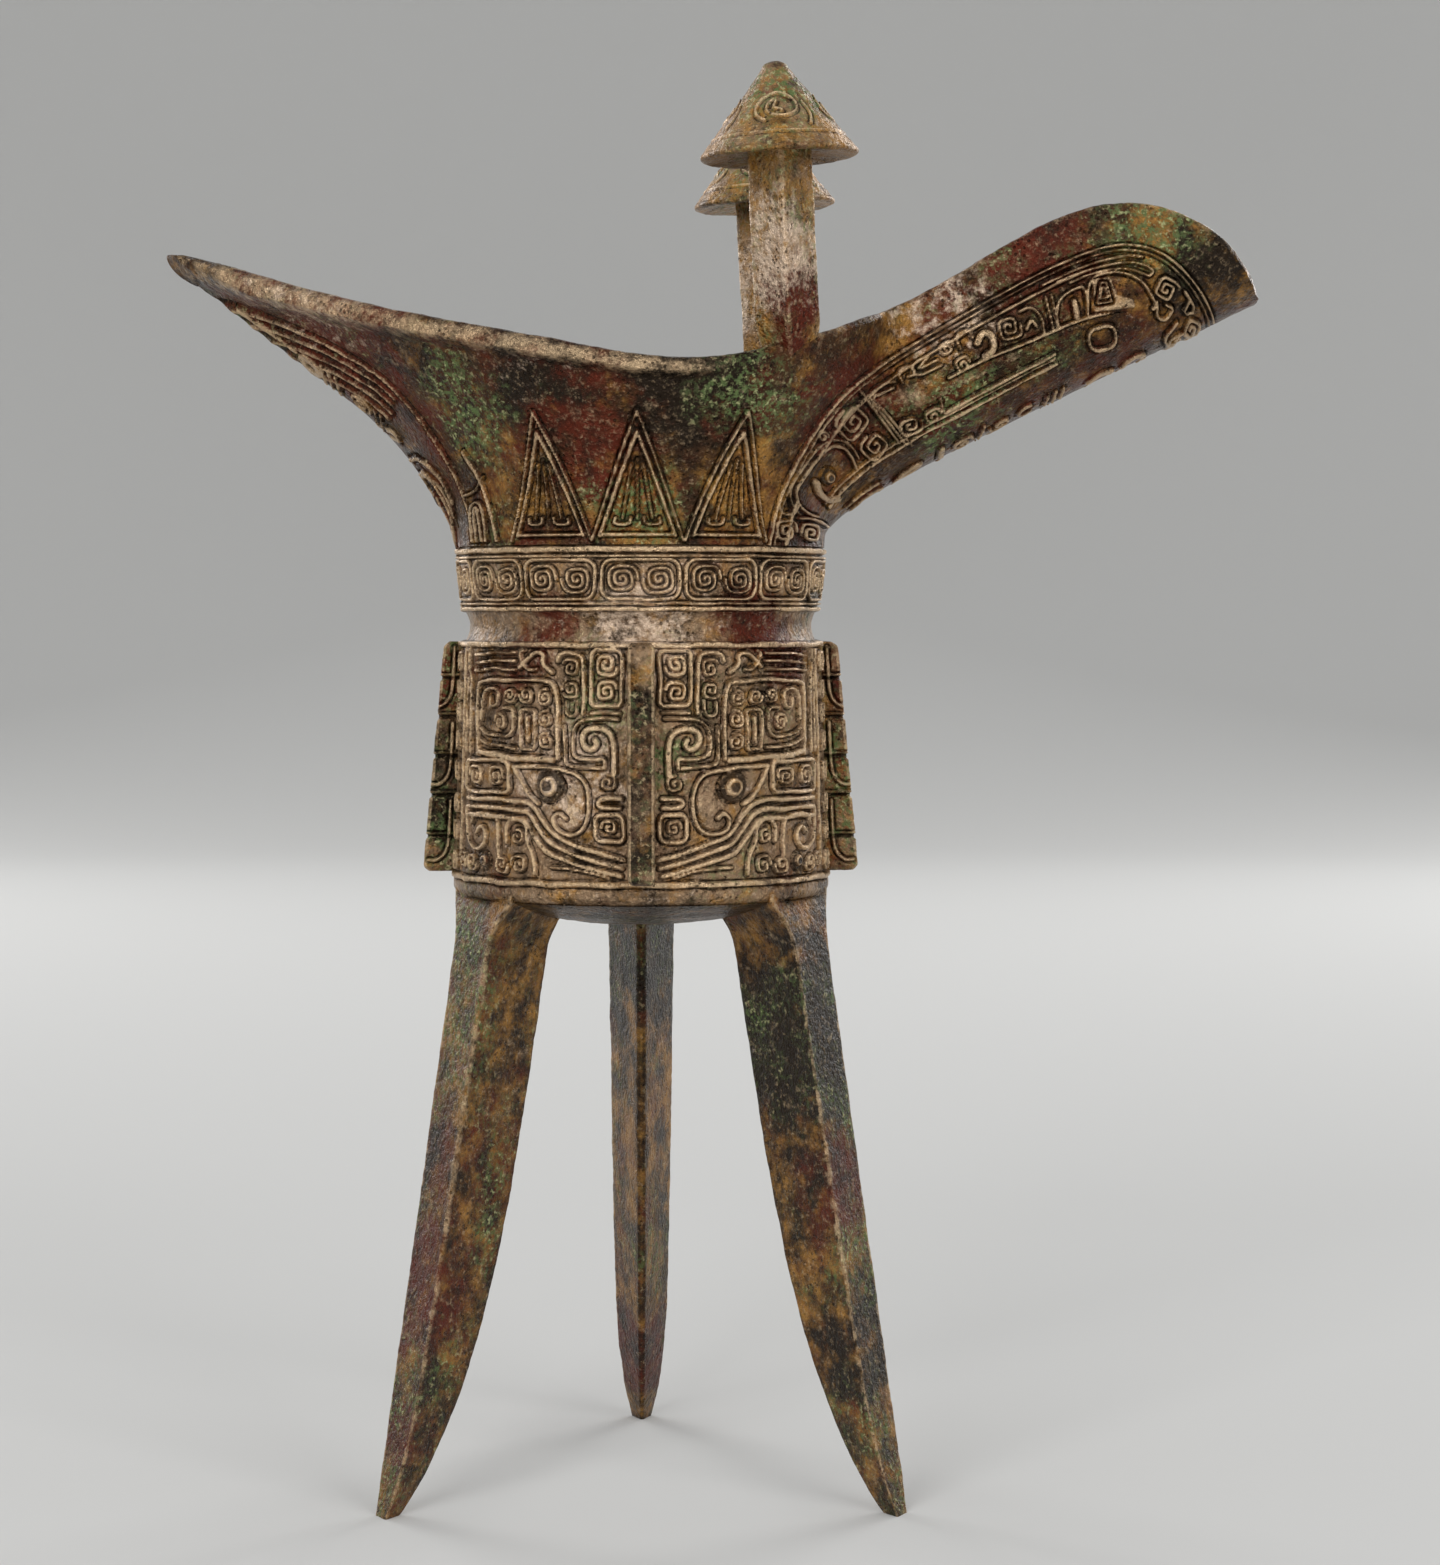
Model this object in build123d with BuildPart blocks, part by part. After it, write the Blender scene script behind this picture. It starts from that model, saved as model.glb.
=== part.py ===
"""Bronze jue: a three-legged wine cup with a spout, a tail, two capped posts and a strap handle.

The origin is on the cup's axis at the standing plane. +X runs along the spout, the handle is at +Y, +Z is up.
Sizes are in millimetres and angles in degrees.
"""

import os
from math import cos, exp, hypot, radians, sin, sqrt

from build123d import *

# Cup: a slightly conical drum on a shallow convex base
CUP_EDGE_Z = 85.4  # lower edge of the drum above the standing plane
BASE_SAG = 4.4  # how far the convex base hangs below that edge
BELLY_HEIGHT = 36.2
BELLY_TOP_RADIUS = 25.8
BELLY_BOTTOM_RADIUS = 26.9
BELLY_WALL = 2.8
FLOOR_RISE = 2.1  # inner floor above the drum's lower edge
MOULDING_HEIGHT = 2.5
MOULDING_PROUD = 0.4

# Collar and band between the drum and the mouth
WAIST_HEIGHT = 4.0
WAIST_SETBACK = 1.4  # narrowest part of the collar inside the drum's upper edge
WAIST_SWELL = 0.6  # how much wider the collar is at its two ends
BAND_HEIGHT = 9.2
BAND_SETBACK = 0.4  # band's lower edge inside the drum's upper edge
NECK_STANDOFF = 0.5  # mouth's neck beyond the drum's upper edge
SPIGOT_WALL = 1.2
SPIGOT_DEPTH = 2.0
JOINT_CLEARANCE = 0.1

# Mouth: each flare runs out by RUN for every millimetre it rises, after a bend of the stated size
MOUTH_WALL = 2.4
SPOUT_RUN = 2.13
SPOUT_BEND = 5.8
SPOUT_SETBACK = 1.0  # how far inside the neck the spout's underside starts
SPOUT_HALF_WIDTH = 13.2
SPOUT_NOSE = 30.0  # length over which the spout rounds to its tip in plan
SPOUT_HEEL = -15.0  # back end of the spout's solid, inside the cup
TAIL_RUN = 1.4
TAIL_BEND = 17.0
TAIL_POINT = 1.6  # power of the tail's plan, where 1 is round and 2 is straight-sided
SIDE_RUN = 0.6
SIDE_BEND = 18.0
SIDE_HOLD_RISE = 20.0  # rise where the sides begin to stop flaring
SIDE_HOLD_EASE = 8.0  # further rise over which they stop
CUP_SQUARENESS = 2.4  # exponent of the cup's plan on the spout side, where 2 is round
CUP_FRONT_SHARE = 1.05  # cup's reach towards the spout against its half-width
FLARE_EASE = 22.0  # rise over which the round neck takes the plan of the mouth

# Rim, seen from the side: distance along X from the axis and rise above the neck
TAIL_TIP_RISE = 43.1
TAIL_RIM_X = -39.5
TAIL_RIM_RISE = 33.6
SIDE_RIM_X = -11.4
SIDE_RIM_RISE = 27.3
LOW_RIM_X = 6.6
LOW_RIM_RISE = 24.9
SPOUT_ROOT_X = 26.3
SPOUT_ROOT_RISE = 29.4
SPOUT_RIM_X = 45.0
SPOUT_RIM_RISE = 38.4
SPOUT_CREST_X = 67.6
SPOUT_CREST_RISE = 47.8
LIP_SHOULDER_X = 81.0
LIP_SHOULDER_RISE = 43.2
LIP_TIP_X = 87.8
LIP_TIP_RISE = 35.6
SPOUT_JOINT_X = 36.0  # plane where the spout is joined to the mouth
TAIL_JOINT_X = -30.0

# Legs: blades with a flat outer face and a narrow inner keel
LEG_COUNT = 3
REAR_LEG_ANGLE = 90.0
LEG_SETBACK = 0.7  # leg's outer face inside the drum's edge
LEG_SPLAY = 14.0
TOE_KICK = 1.3  # how far the toe turns out beyond the straight splay
KICK_POWER = 8.0  # the higher the power, the later the toe turns out
LEG_DEPTH = 12.3
TOE_DEPTH = 2.9
DEPTH_POWERS = (4.0, 0.9)  # how late and how gently the blade loses its depth
LEG_HALF_WIDTH = 5.15
LEG_TAPER = 1.2
TOE_NARROWING = 0.6  # share of its width the leg loses at the toe
NARROWING_POWER = 10.0
KEEL_HALF_WIDTH = 1.6
LEG_SHOULDER = 2.5  # how far the leg swells where it meets the base
SHOULDER_DROP = 7.5  # how far down that swell reaches
LEG_TENON_WIDTH = 5.0
LEG_TENON_DEPTH = 5.5
MORTISE_COVER = 2.2  # metal left between a leg's mortise and the inner floor
TENON_RADIUS = 20.5
LEG_STATIONS = (0.0, 0.025, 0.05, 0.085, 0.15, 0.3, 0.5, 0.7, 0.85, 0.94, 1.0)  # shares of the way down

# Flanges
FLANGE_THICKNESS = 4.1
FLANGE_TOP_REACH = 2.3
FLANGE_BOTTOM_REACH = 4.4
FLANGE_SEAT = 0.9
FLANGE_BOTTOM_RISE = 3.2
FLANGE_TOP_DROP = 0.2
FLANGE_ANGLES = {"flange_front": -90.0, "flange_spout_side": 0.0, "flange_tail_side": 180.0}

# Posts and caps
POST_SETBACK = 6.1  # post's foot behind the neck's front, along X
POST_STANDOFF = 3.2  # post's foot beyond the neck's radius, along Y
POST_SIDE = 6.4
POST_LEAN = 3.0
POST_TURN = 45.0  # the posts stand corner-on to the rim
POST_FOOT_RISE = 23.0  # lower end of the post, which straddles the rim
POST_TOP_RISE = 51.6  # underside of the cap
POST_TENON = 3.0
CAP_DIAMETER = 21.2
CAP_HEIGHT = 13.0
CAP_BRIM = 1.6
CAP_TIP_RADIUS = 1.8
CAP_HOLLOW = 1.4

# Handle over the rear leg, and the head on its shoulder
HANDLE_WIDTH = 8.0
HANDLE_THICKNESS = 4.4
HANDLE_REACH = 14.5  # outermost face beyond the drum's widest radius
HANDLE_TOP_RISE = 30.0
HANDLE_BOTTOM_RISE = 6.0
HANDLE_CORNER = 8.0
HANDLE_SEAT = 1.0
HANDLE_EDGE = 0.9
HEAD_LENGTH = 12.0
HEAD_WIDTH = 8.6
HEAD_HEIGHT = 6.0
MUZZLE_WIDTH = 5.2
MUZZLE_HEIGHT = 3.4
HORN_RADIUS = 1.7
HORN_TIP_RADIUS = 0.6
HORN_LENGTH = 6.0
HORN_SPREAD = 42.0

# Levels worked out from the sizes above
BELLY_TOP_Z = CUP_EDGE_Z + BELLY_HEIGHT
WAIST_TOP_Z = BELLY_TOP_Z + WAIST_HEIGHT
NECK_Z = WAIST_TOP_Z + BAND_HEIGHT
FLOOR_Z = CUP_EDGE_Z + FLOOR_RISE
EDGE_RADIUS = BELLY_BOTTOM_RADIUS + MOULDING_PROUD
DOME_RADIUS = (EDGE_RADIUS**2 + BASE_SAG**2) / (2 * BASE_SAG)
BELLY_INNER_TOP = BELLY_TOP_RADIUS - BELLY_WALL
WIDEST_DRUM = max(BELLY_TOP_RADIUS, BELLY_BOTTOM_RADIUS)
WAIST_RADIUS = BELLY_TOP_RADIUS - WAIST_SETBACK
BAND_BOTTOM_RADIUS = BELLY_TOP_RADIUS - BAND_SETBACK
NECK_RADIUS = BELLY_TOP_RADIUS + NECK_STANDOFF
SPIGOT_INNER = BELLY_INNER_TOP - JOINT_CLEARANCE - SPIGOT_WALL
BAND_INNER = BELLY_INNER_TOP
SOCKET_RADIUS = NECK_RADIUS - MOUTH_WALL + SPIGOT_WALL
HULL_TOP_RISE = SPOUT_CREST_RISE + MOUTH_WALL

# How finely the mouth's skin is drawn
HULL_LEVELS = 7
LEVEL_CROWDING = 1.5  # above 1 the levels crowd towards the neck
QUARTER_STATIONS = 9
FAR = 2 * (LIP_TIP_X + TAIL_RUN * TAIL_TIP_RISE)

os.makedirs("parts", exist_ok=True)


def finish(piece, label):
    """Name a finished piece and write it."""
    piece.label = label
    export_step(piece, f"parts/{label}.step")


def ring(profile):
    """A solid of revolution about the cup's axis from a closed (radius, height) outline."""
    with BuildPart() as turned:
        with BuildSketch(Plane.XZ):
            with BuildLine():
                Polyline(*profile, close=True)
            make_face()
        revolve(axis=Axis.Z)
    return turned.part


def radial_plane(angle, z=0.0):
    """A horizontal plane on the axis whose X direction points out at the given angle."""
    return Plane(origin=(0, 0, z), x_dir=(cos(radians(angle)), sin(radians(angle)), 0), z_dir=(0, 0, 1))


def upright_plane(angle):
    """A vertical plane through the axis: X points out at the given angle and Y points up."""
    out = (cos(radians(angle)), sin(radians(angle)), 0)
    return Plane(origin=(0, 0, 0), x_dir=out, z_dir=(sin(radians(angle)), -cos(radians(angle)), 0))


def drum_radius(z):
    """Outer radius of the conical drum at a height."""
    share = (z - CUP_EDGE_Z) / BELLY_HEIGHT
    return BELLY_BOTTOM_RADIUS + (BELLY_TOP_RADIUS - BELLY_BOTTOM_RADIUS) * share


# Skin of the mouth
def smooth(value):
    """Ease from 0 to 1 with level ends."""
    held = min(1.0, max(0.0, value))
    return held * held * (3 - 2 * held)


def skin_reach(rise, root, run, bend, inset):
    """Distance from the axis to a flare's skin that starts at root, moved in square to the skin by inset."""
    slope = run * rise / hypot(rise, bend)
    return root + run * (hypot(rise, bend) - bend) - inset * sqrt(1 + slope**2)


def side_reach(rise, inset):
    """Half-width of the round cup between spout and tail, which stops flaring above the rim's low part."""
    over = max(0.0, rise - SIDE_HOLD_RISE)
    held = min(rise, SIDE_HOLD_RISE) + SIDE_HOLD_EASE * (1 - exp(-over / SIDE_HOLD_EASE))
    return skin_reach(held, NECK_RADIUS, SIDE_RUN, SIDE_BEND, inset)


def cup_hull(inset):
    """The solid inside the skin of cup and tail, from the round neck to above the rim."""
    angles = [radians(90.0 * step / QUARTER_STATIONS) for step in range(QUARTER_STATIONS + 1)]
    shares = [step / QUARTER_STATIONS for step in range(QUARTER_STATIONS + 1)]
    with BuildPart() as hull:
        for level in range(HULL_LEVELS + 1):
            rise = HULL_TOP_RISE * (level / HULL_LEVELS) ** LEVEL_CROWDING
            ease = smooth(rise / FLARE_EASE)
            side = side_reach(rise, inset)
            front = side * (1 + (CUP_FRONT_SHARE - 1) * ease)
            back = skin_reach(rise, NECK_RADIUS, TAIL_RUN, TAIL_BEND, inset)
            front_power = 2 / (2 + (CUP_SQUARENESS - 2) * ease)
            tail_power = 1 + (TAIL_POINT - 1) * ease
            front_run = [(front * cos(turn) ** front_power, side * sin(turn) ** front_power) for turn in angles]
            tail_run = [(-back * sin(turn), side * cos(turn) ** tail_power) for turn in angles]
            with BuildSketch(Plane.XY.offset(NECK_Z + rise)):
                with BuildLine():
                    for run in (front_run, tail_run):
                        add(Edge.make_spline(run, parameters=shares))
                        add(Edge.make_spline([(x, -y) for x, y in run], parameters=shares))
                make_face()
        loft()
    return hull.part


def spout_hull(inset):
    """The solid inside the spout's skin: one round-nosed plan that moves out as it rises."""
    with BuildPart() as hull:
        for level in range(HULL_LEVELS + 1):
            rise = HULL_TOP_RISE * (level / HULL_LEVELS) ** LEVEL_CROWDING
            root = NECK_RADIUS - SPOUT_SETBACK
            tip = skin_reach(rise, root, SPOUT_RUN, SPOUT_BEND, inset)
            centre = skin_reach(rise, root, SPOUT_RUN, SPOUT_BEND, 0.0) - SPOUT_NOSE
            half = SPOUT_HALF_WIDTH - inset
            with BuildSketch(Plane.XY.offset(NECK_Z + rise)):
                with BuildLine():
                    EllipticalCenterArc((centre, 0), tip - centre, half, start_angle=-90, arc_size=180)
                    Polyline((centre, half), (SPOUT_HEEL, half), (SPOUT_HEEL, -half), (centre, -half))
                make_face()
        loft()
    return hull.part


def above_rim(lift):
    """Everything above the rim's side outline, and beyond the tips of tail and spout."""
    tail_tip = (-skin_reach(TAIL_TIP_RISE, NECK_RADIUS, TAIL_RUN, TAIL_BEND, 0.0), TAIL_TIP_RISE)
    rim = [
        tail_tip, (TAIL_RIM_X, TAIL_RIM_RISE), (SIDE_RIM_X, SIDE_RIM_RISE), (LOW_RIM_X, LOW_RIM_RISE),
        (SPOUT_ROOT_X, SPOUT_ROOT_RISE), (SPOUT_RIM_X, SPOUT_RIM_RISE), (SPOUT_CREST_X, SPOUT_CREST_RISE),
        (LIP_SHOULDER_X, LIP_SHOULDER_RISE), (LIP_TIP_X, LIP_TIP_RISE),
    ]
    points = [(x, NECK_Z + rise + lift) for x, rise in rim]
    with BuildPart() as cutter:
        with BuildSketch(Plane.XZ):
            with BuildLine():
                Spline(*points)
                Polyline(points[-1], (points[-1][0], NECK_Z), (FAR, NECK_Z), (FAR, NECK_Z + FAR),
                         (-FAR, NECK_Z + FAR), (-FAR, points[0][1]), points[0])
            make_face()
        extrude(amount=FAR, both=True)
    return cutter.part


def mouth_shell(room):
    """The whole open wall of mouth, spout and tail, grown by room on all its faces."""
    with BuildPart() as shell:
        add(cup_hull(-room))
        add(spout_hull(-room))
        add(cup_hull(MOUTH_WALL + room), mode=Mode.SUBTRACT)
        add(spout_hull(MOUTH_WALL + room), mode=Mode.SUBTRACT)
        add(above_rim(room), mode=Mode.SUBTRACT)
    return shell.part


mouth_wall = mouth_shell(0.0)
mouth_room = mouth_shell(JOINT_CLEARANCE)

with BuildPart() as spout:
    add(mouth_wall)
    split(bisect_by=Plane.YZ.offset(SPOUT_JOINT_X), keep=Keep.TOP)
finish(spout.part, "spout")

with BuildPart() as tail:
    add(mouth_wall)
    split(bisect_by=Plane.YZ.offset(TAIL_JOINT_X), keep=Keep.BOTTOM)
finish(tail.part, "tail")

with BuildPart() as mouth:
    add(mouth_wall)
    split(bisect_by=Plane.YZ.offset(SPOUT_JOINT_X), keep=Keep.BOTTOM)
    split(bisect_by=Plane.YZ.offset(TAIL_JOINT_X), keep=Keep.TOP)
    with BuildSketch(Plane.XY.offset(NECK_Z)):
        Circle(SOCKET_RADIUS - JOINT_CLEARANCE)
        Circle(NECK_RADIUS - MOUTH_WALL + JOINT_CLEARANCE, mode=Mode.SUBTRACT)
    extrude(amount=-SPIGOT_DEPTH)
finish(mouth.part, "mouth")

# Band and collar
neck_band = ring([
    (BAND_INNER, WAIST_TOP_Z), (BAND_BOTTOM_RADIUS, WAIST_TOP_Z), (NECK_RADIUS, NECK_Z),
    (SOCKET_RADIUS, NECK_Z), (SOCKET_RADIUS, NECK_Z - SPIGOT_DEPTH - JOINT_CLEARANCE),
    (BAND_INNER, NECK_Z - SPIGOT_DEPTH - JOINT_CLEARANCE),
])
finish(neck_band, "neck_band")

spigot_outer = BELLY_INNER_TOP - JOINT_CLEARANCE
waist_end = WAIST_RADIUS + WAIST_SWELL
with BuildPart() as waist_collar:
    with BuildSketch(Plane.XZ):
        with BuildLine():
            ThreePointArc((waist_end, BELLY_TOP_Z), (WAIST_RADIUS, BELLY_TOP_Z + WAIST_HEIGHT / 2),
                          (waist_end, WAIST_TOP_Z))
            Polyline((waist_end, WAIST_TOP_Z), (spigot_outer, WAIST_TOP_Z),
                     (spigot_outer, WAIST_TOP_Z + SPIGOT_DEPTH), (SPIGOT_INNER, WAIST_TOP_Z + SPIGOT_DEPTH),
                     (SPIGOT_INNER, BELLY_TOP_Z - SPIGOT_DEPTH), (spigot_outer, BELLY_TOP_Z - SPIGOT_DEPTH),
                     (spigot_outer, BELLY_TOP_Z), (waist_end, BELLY_TOP_Z))
        make_face()
    revolve(axis=Axis.Z)
finish(waist_collar.part, "waist_collar")


# Flanges: plates that stand in shallow slots of the drum
flange_bottom_z = CUP_EDGE_Z + FLANGE_BOTTOM_RISE
flange_top_z = BELLY_TOP_Z - FLANGE_TOP_DROP


def flange(angle, room):
    """A flange standing out at an angle, grown by room on its flat sides and its two ends."""
    low = flange_bottom_z - room
    high = flange_top_z + room
    with BuildPart() as plate:
        with BuildSketch(upright_plane(angle)):
            with BuildLine():
                Polyline((drum_radius(low) - FLANGE_SEAT, low), (drum_radius(low) + FLANGE_BOTTOM_REACH, low),
                         (drum_radius(high) + FLANGE_TOP_REACH, high), (drum_radius(high) - FLANGE_SEAT, high),
                         close=True)
            make_face()
        extrude(amount=FLANGE_THICKNESS / 2 + room, both=True)
    return plate.part


for flange_name, flange_angle in FLANGE_ANGLES.items():
    finish(flange(flange_angle, 0.0), flange_name)

# Handle: a flat loop that stands in two pockets at the back of the drum
handle_out = WIDEST_DRUM + HANDLE_REACH
handle_top_z = CUP_EDGE_Z + HANDLE_TOP_RISE
handle_bottom_z = CUP_EDGE_Z + HANDLE_BOTTOM_RISE
handle_seat_y = drum_radius(handle_top_z) - HANDLE_SEAT


def handle_loop(room, width):
    """The handle's side outline, drawn across the drum's back, with its seat on a flat plane."""
    with BuildPart() as loop:
        with BuildSketch(Plane.YZ):
            with Locations(((handle_seat_y + handle_out) / 2, (handle_top_z + handle_bottom_z) / 2)):
                Rectangle(handle_out - handle_seat_y, handle_top_z - handle_bottom_z + 2 * room)
            outer_corners = vertices().group_by(Axis.X)[-1]
            fillet(outer_corners, HANDLE_CORNER)
            with Locations(((handle_seat_y + handle_out - HANDLE_THICKNESS) / 2,
                            (handle_top_z + handle_bottom_z) / 2)):
                Rectangle(handle_out - HANDLE_THICKNESS - handle_seat_y,
                          handle_top_z - handle_bottom_z - 2 * HANDLE_THICKNESS - 2 * room,
                          mode=Mode.SUBTRACT)
        extrude(amount=width / 2 + room, both=True)
    return loop.part


with BuildPart() as handle:
    add(handle_loop(0.0, HANDLE_WIDTH))
    gap_corners = (edges().filter_by(Axis.X).filter_by_position(
        Axis.Y, handle_seat_y + HANDLE_CORNER, handle_out - HANDLE_THICKNESS + JOINT_CLEARANCE)
        .group_by(Axis.Y)[-1])
    fillet(gap_corners, HANDLE_CORNER - HANDLE_THICKNESS)
    outer_rim = faces().filter_by(Axis.X).edges().filter_by_position(
        Axis.Y, WIDEST_DRUM + HANDLE_THICKNESS, FAR)
    chamfer(outer_rim, HANDLE_EDGE)
finish(handle.part, "handle")

# Head: it lies along the handle's flat top with its muzzle outwards
head_back_y = handle_out - HANDLE_CORNER - HEAD_LENGTH / 2
with BuildPart() as handle_head:
    with BuildSketch(Plane.XZ.offset(-head_back_y)):
        with Locations((0, handle_top_z + HEAD_HEIGHT / 2)):
            Rectangle(HEAD_WIDTH, HEAD_HEIGHT)
    with BuildSketch(Plane.XZ.offset(-head_back_y - HEAD_LENGTH)):
        with Locations((0, handle_top_z + MUZZLE_HEIGHT / 2)):
            Rectangle(MUZZLE_WIDTH, MUZZLE_HEIGHT)
    loft()
    for side in (-1, 1):
        horn_x = side * (HEAD_WIDTH / 2 - HORN_RADIUS)
        horn_root = (horn_x, head_back_y + HORN_RADIUS, handle_top_z + HEAD_HEIGHT - HORN_RADIUS)
        horn_axis = (side * sin(radians(HORN_SPREAD)), 0, cos(radians(HORN_SPREAD)))
        horn_plane = Plane(origin=horn_root, x_dir=(0, 1, 0), z_dir=horn_axis)
        with BuildSketch(horn_plane):
            Circle(HORN_RADIUS)
        with BuildSketch(horn_plane.offset(HORN_LENGTH)):
            Circle(HORN_TIP_RADIUS)
        loft()
finish(handle_head.part, "handle_head")


# Legs
def leg_section(drop):
    """Outer radius, keel radius, half-width and keel half-width at a share of the way down the leg."""
    late, gentle = DEPTH_POWERS
    swell = LEG_SHOULDER * max(0.0, 1 - CUP_EDGE_Z * drop / SHOULDER_DROP) ** 2
    outer = EDGE_RADIUS - LEG_SETBACK + LEG_SPLAY * drop + TOE_KICK * drop**KICK_POWER
    depth = TOE_DEPTH + (LEG_DEPTH - TOE_DEPTH) * (1 - drop**late) ** gentle
    half = (LEG_HALF_WIDTH - LEG_TAPER * drop) * (1 - TOE_NARROWING * drop**NARROWING_POWER)
    keel = KEEL_HALF_WIDTH * half / LEG_HALF_WIDTH
    return outer, outer - depth - swell, half, keel + swell


def leg_tenon(angle, room):
    """The square tenon on a leg's top, grown by room on its four sides."""
    with BuildPart() as tenon:
        with BuildSketch(radial_plane(angle, CUP_EDGE_Z - BASE_SAG)):
            with Locations((TENON_RADIUS, 0)):
                Rectangle(LEG_TENON_DEPTH + 2 * room, LEG_TENON_WIDTH + 2 * room)
        extrude(amount=BASE_SAG + FLOOR_RISE - MORTISE_COVER)
    return tenon.part


def base_points(gap):
    """Centre, middle and edge of the convex base's arc, lowered by a gap."""
    middle = EDGE_RADIUS / 2
    bottom = CUP_EDGE_Z - BASE_SAG - gap
    middle_z = bottom + DOME_RADIUS - sqrt(DOME_RADIUS**2 - middle**2)
    return (0, bottom), (middle, middle_z), (EDGE_RADIUS, CUP_EDGE_Z - gap)


def base_dome(gap):
    """All that lies above the cup's convex base, lowered by a gap."""
    with BuildPart() as dome:
        with BuildSketch(Plane.XZ):
            with BuildLine():
                ThreePointArc(*base_points(gap))
                Polyline((EDGE_RADIUS, CUP_EDGE_Z - gap), (FAR, CUP_EDGE_Z - gap), (FAR, NECK_Z), (0, NECK_Z),
                         (0, CUP_EDGE_Z - BASE_SAG - gap))
            make_face()
        revolve(axis=Axis.Z)
    return dome.part


leg_cutter = base_dome(JOINT_CLEARANCE)
leg_angles = [REAR_LEG_ANGLE + 360.0 * leg / LEG_COUNT for leg in range(LEG_COUNT)]
leg_names = ["leg_rear", "leg_front_left", "leg_front_right"]
for leg_name, leg_angle in zip(leg_names, leg_angles):
    with BuildPart() as leg:
        for drop in LEG_STATIONS:
            outer, inner, half, keel = leg_section(drop)
            with BuildSketch(radial_plane(leg_angle, CUP_EDGE_Z * (1 - drop))):
                with BuildLine():
                    Polyline((outer, -half), (outer, half), (inner, keel), (inner, -keel), close=True)
                make_face()
        loft()
        add(leg_cutter, mode=Mode.SUBTRACT)
        add(leg_tenon(leg_angle, 0.0))
    finish(leg.part, leg_name)

# Drum
with BuildPart() as belly:
    with BuildSketch(Plane.XZ):
        with BuildLine():
            ThreePointArc(*base_points(0.0))
            moulding_top = CUP_EDGE_Z + MOULDING_HEIGHT
            Polyline((EDGE_RADIUS, CUP_EDGE_Z), (drum_radius(moulding_top) + MOULDING_PROUD, moulding_top),
                     (drum_radius(moulding_top), moulding_top), (BELLY_TOP_RADIUS, BELLY_TOP_Z),
                     (BELLY_INNER_TOP, BELLY_TOP_Z), (drum_radius(FLOOR_Z) - BELLY_WALL, FLOOR_Z), (0, FLOOR_Z),
                     (0, CUP_EDGE_Z - BASE_SAG))
        make_face()
    revolve(axis=Axis.Z)
    for flange_angle in FLANGE_ANGLES.values():
        add(flange(flange_angle, JOINT_CLEARANCE), mode=Mode.SUBTRACT)
    for leg_angle in leg_angles:
        add(leg_tenon(leg_angle, JOINT_CLEARANCE), mode=Mode.SUBTRACT)
    add(handle_loop(JOINT_CLEARANCE, HANDLE_WIDTH), mode=Mode.SUBTRACT)
finish(belly.part, "belly")

# Posts and caps
lean_x = (cos(radians(POST_LEAN)), 0, sin(radians(POST_LEAN)))
post_up = (-sin(radians(POST_LEAN)), 0, cos(radians(POST_LEAN)))
post_length = (POST_TOP_RISE - POST_FOOT_RISE) / cos(radians(POST_LEAN))
post_x = NECK_RADIUS - POST_SETBACK
post_y = NECK_RADIUS + POST_STANDOFF
for side_name, side in (("front", -1), ("rear", 1)):
    foot = (post_x, side * post_y, NECK_Z + POST_FOOT_RISE)
    foot_plane = Plane(origin=foot, x_dir=lean_x, z_dir=post_up)
    with BuildPart() as post:
        with BuildSketch(foot_plane):
            Rectangle(POST_SIDE, POST_SIDE, rotation=POST_TURN)
        extrude(amount=post_length + POST_TENON)
        add(mouth_room, mode=Mode.SUBTRACT)
    finish(post.part, f"post_{side_name}")

    seat_plane = foot_plane.offset(post_length)
    profile_plane = Plane(origin=seat_plane.origin, x_dir=lean_x, z_dir=(0, -1, 0))
    with BuildPart() as cap:
        with BuildSketch(profile_plane):
            with BuildLine():
                brim = CAP_DIAMETER / 2
                Polyline((CAP_TIP_RADIUS, CAP_HEIGHT), (brim, CAP_BRIM), (brim, 0), (POST_SIDE, CAP_HOLLOW),
                         (0, CAP_HOLLOW), (0, CAP_HEIGHT), (CAP_TIP_RADIUS, CAP_HEIGHT))
            make_face()
        revolve(axis=Axis(seat_plane.origin, post_up))
        tip_edge = edges().sort_by(Axis.Z)[-1]
        fillet(tip_edge, CAP_TIP_RADIUS / 2)
        with BuildSketch(seat_plane):
            socket_side = POST_SIDE + 2 * JOINT_CLEARANCE
            Rectangle(socket_side, socket_side, rotation=POST_TURN)
        extrude(amount=POST_TENON, mode=Mode.SUBTRACT)
    finish(cap.part, f"cap_{side_name}")
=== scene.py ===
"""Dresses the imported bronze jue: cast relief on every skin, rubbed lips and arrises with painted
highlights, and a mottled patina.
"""
import math

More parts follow.
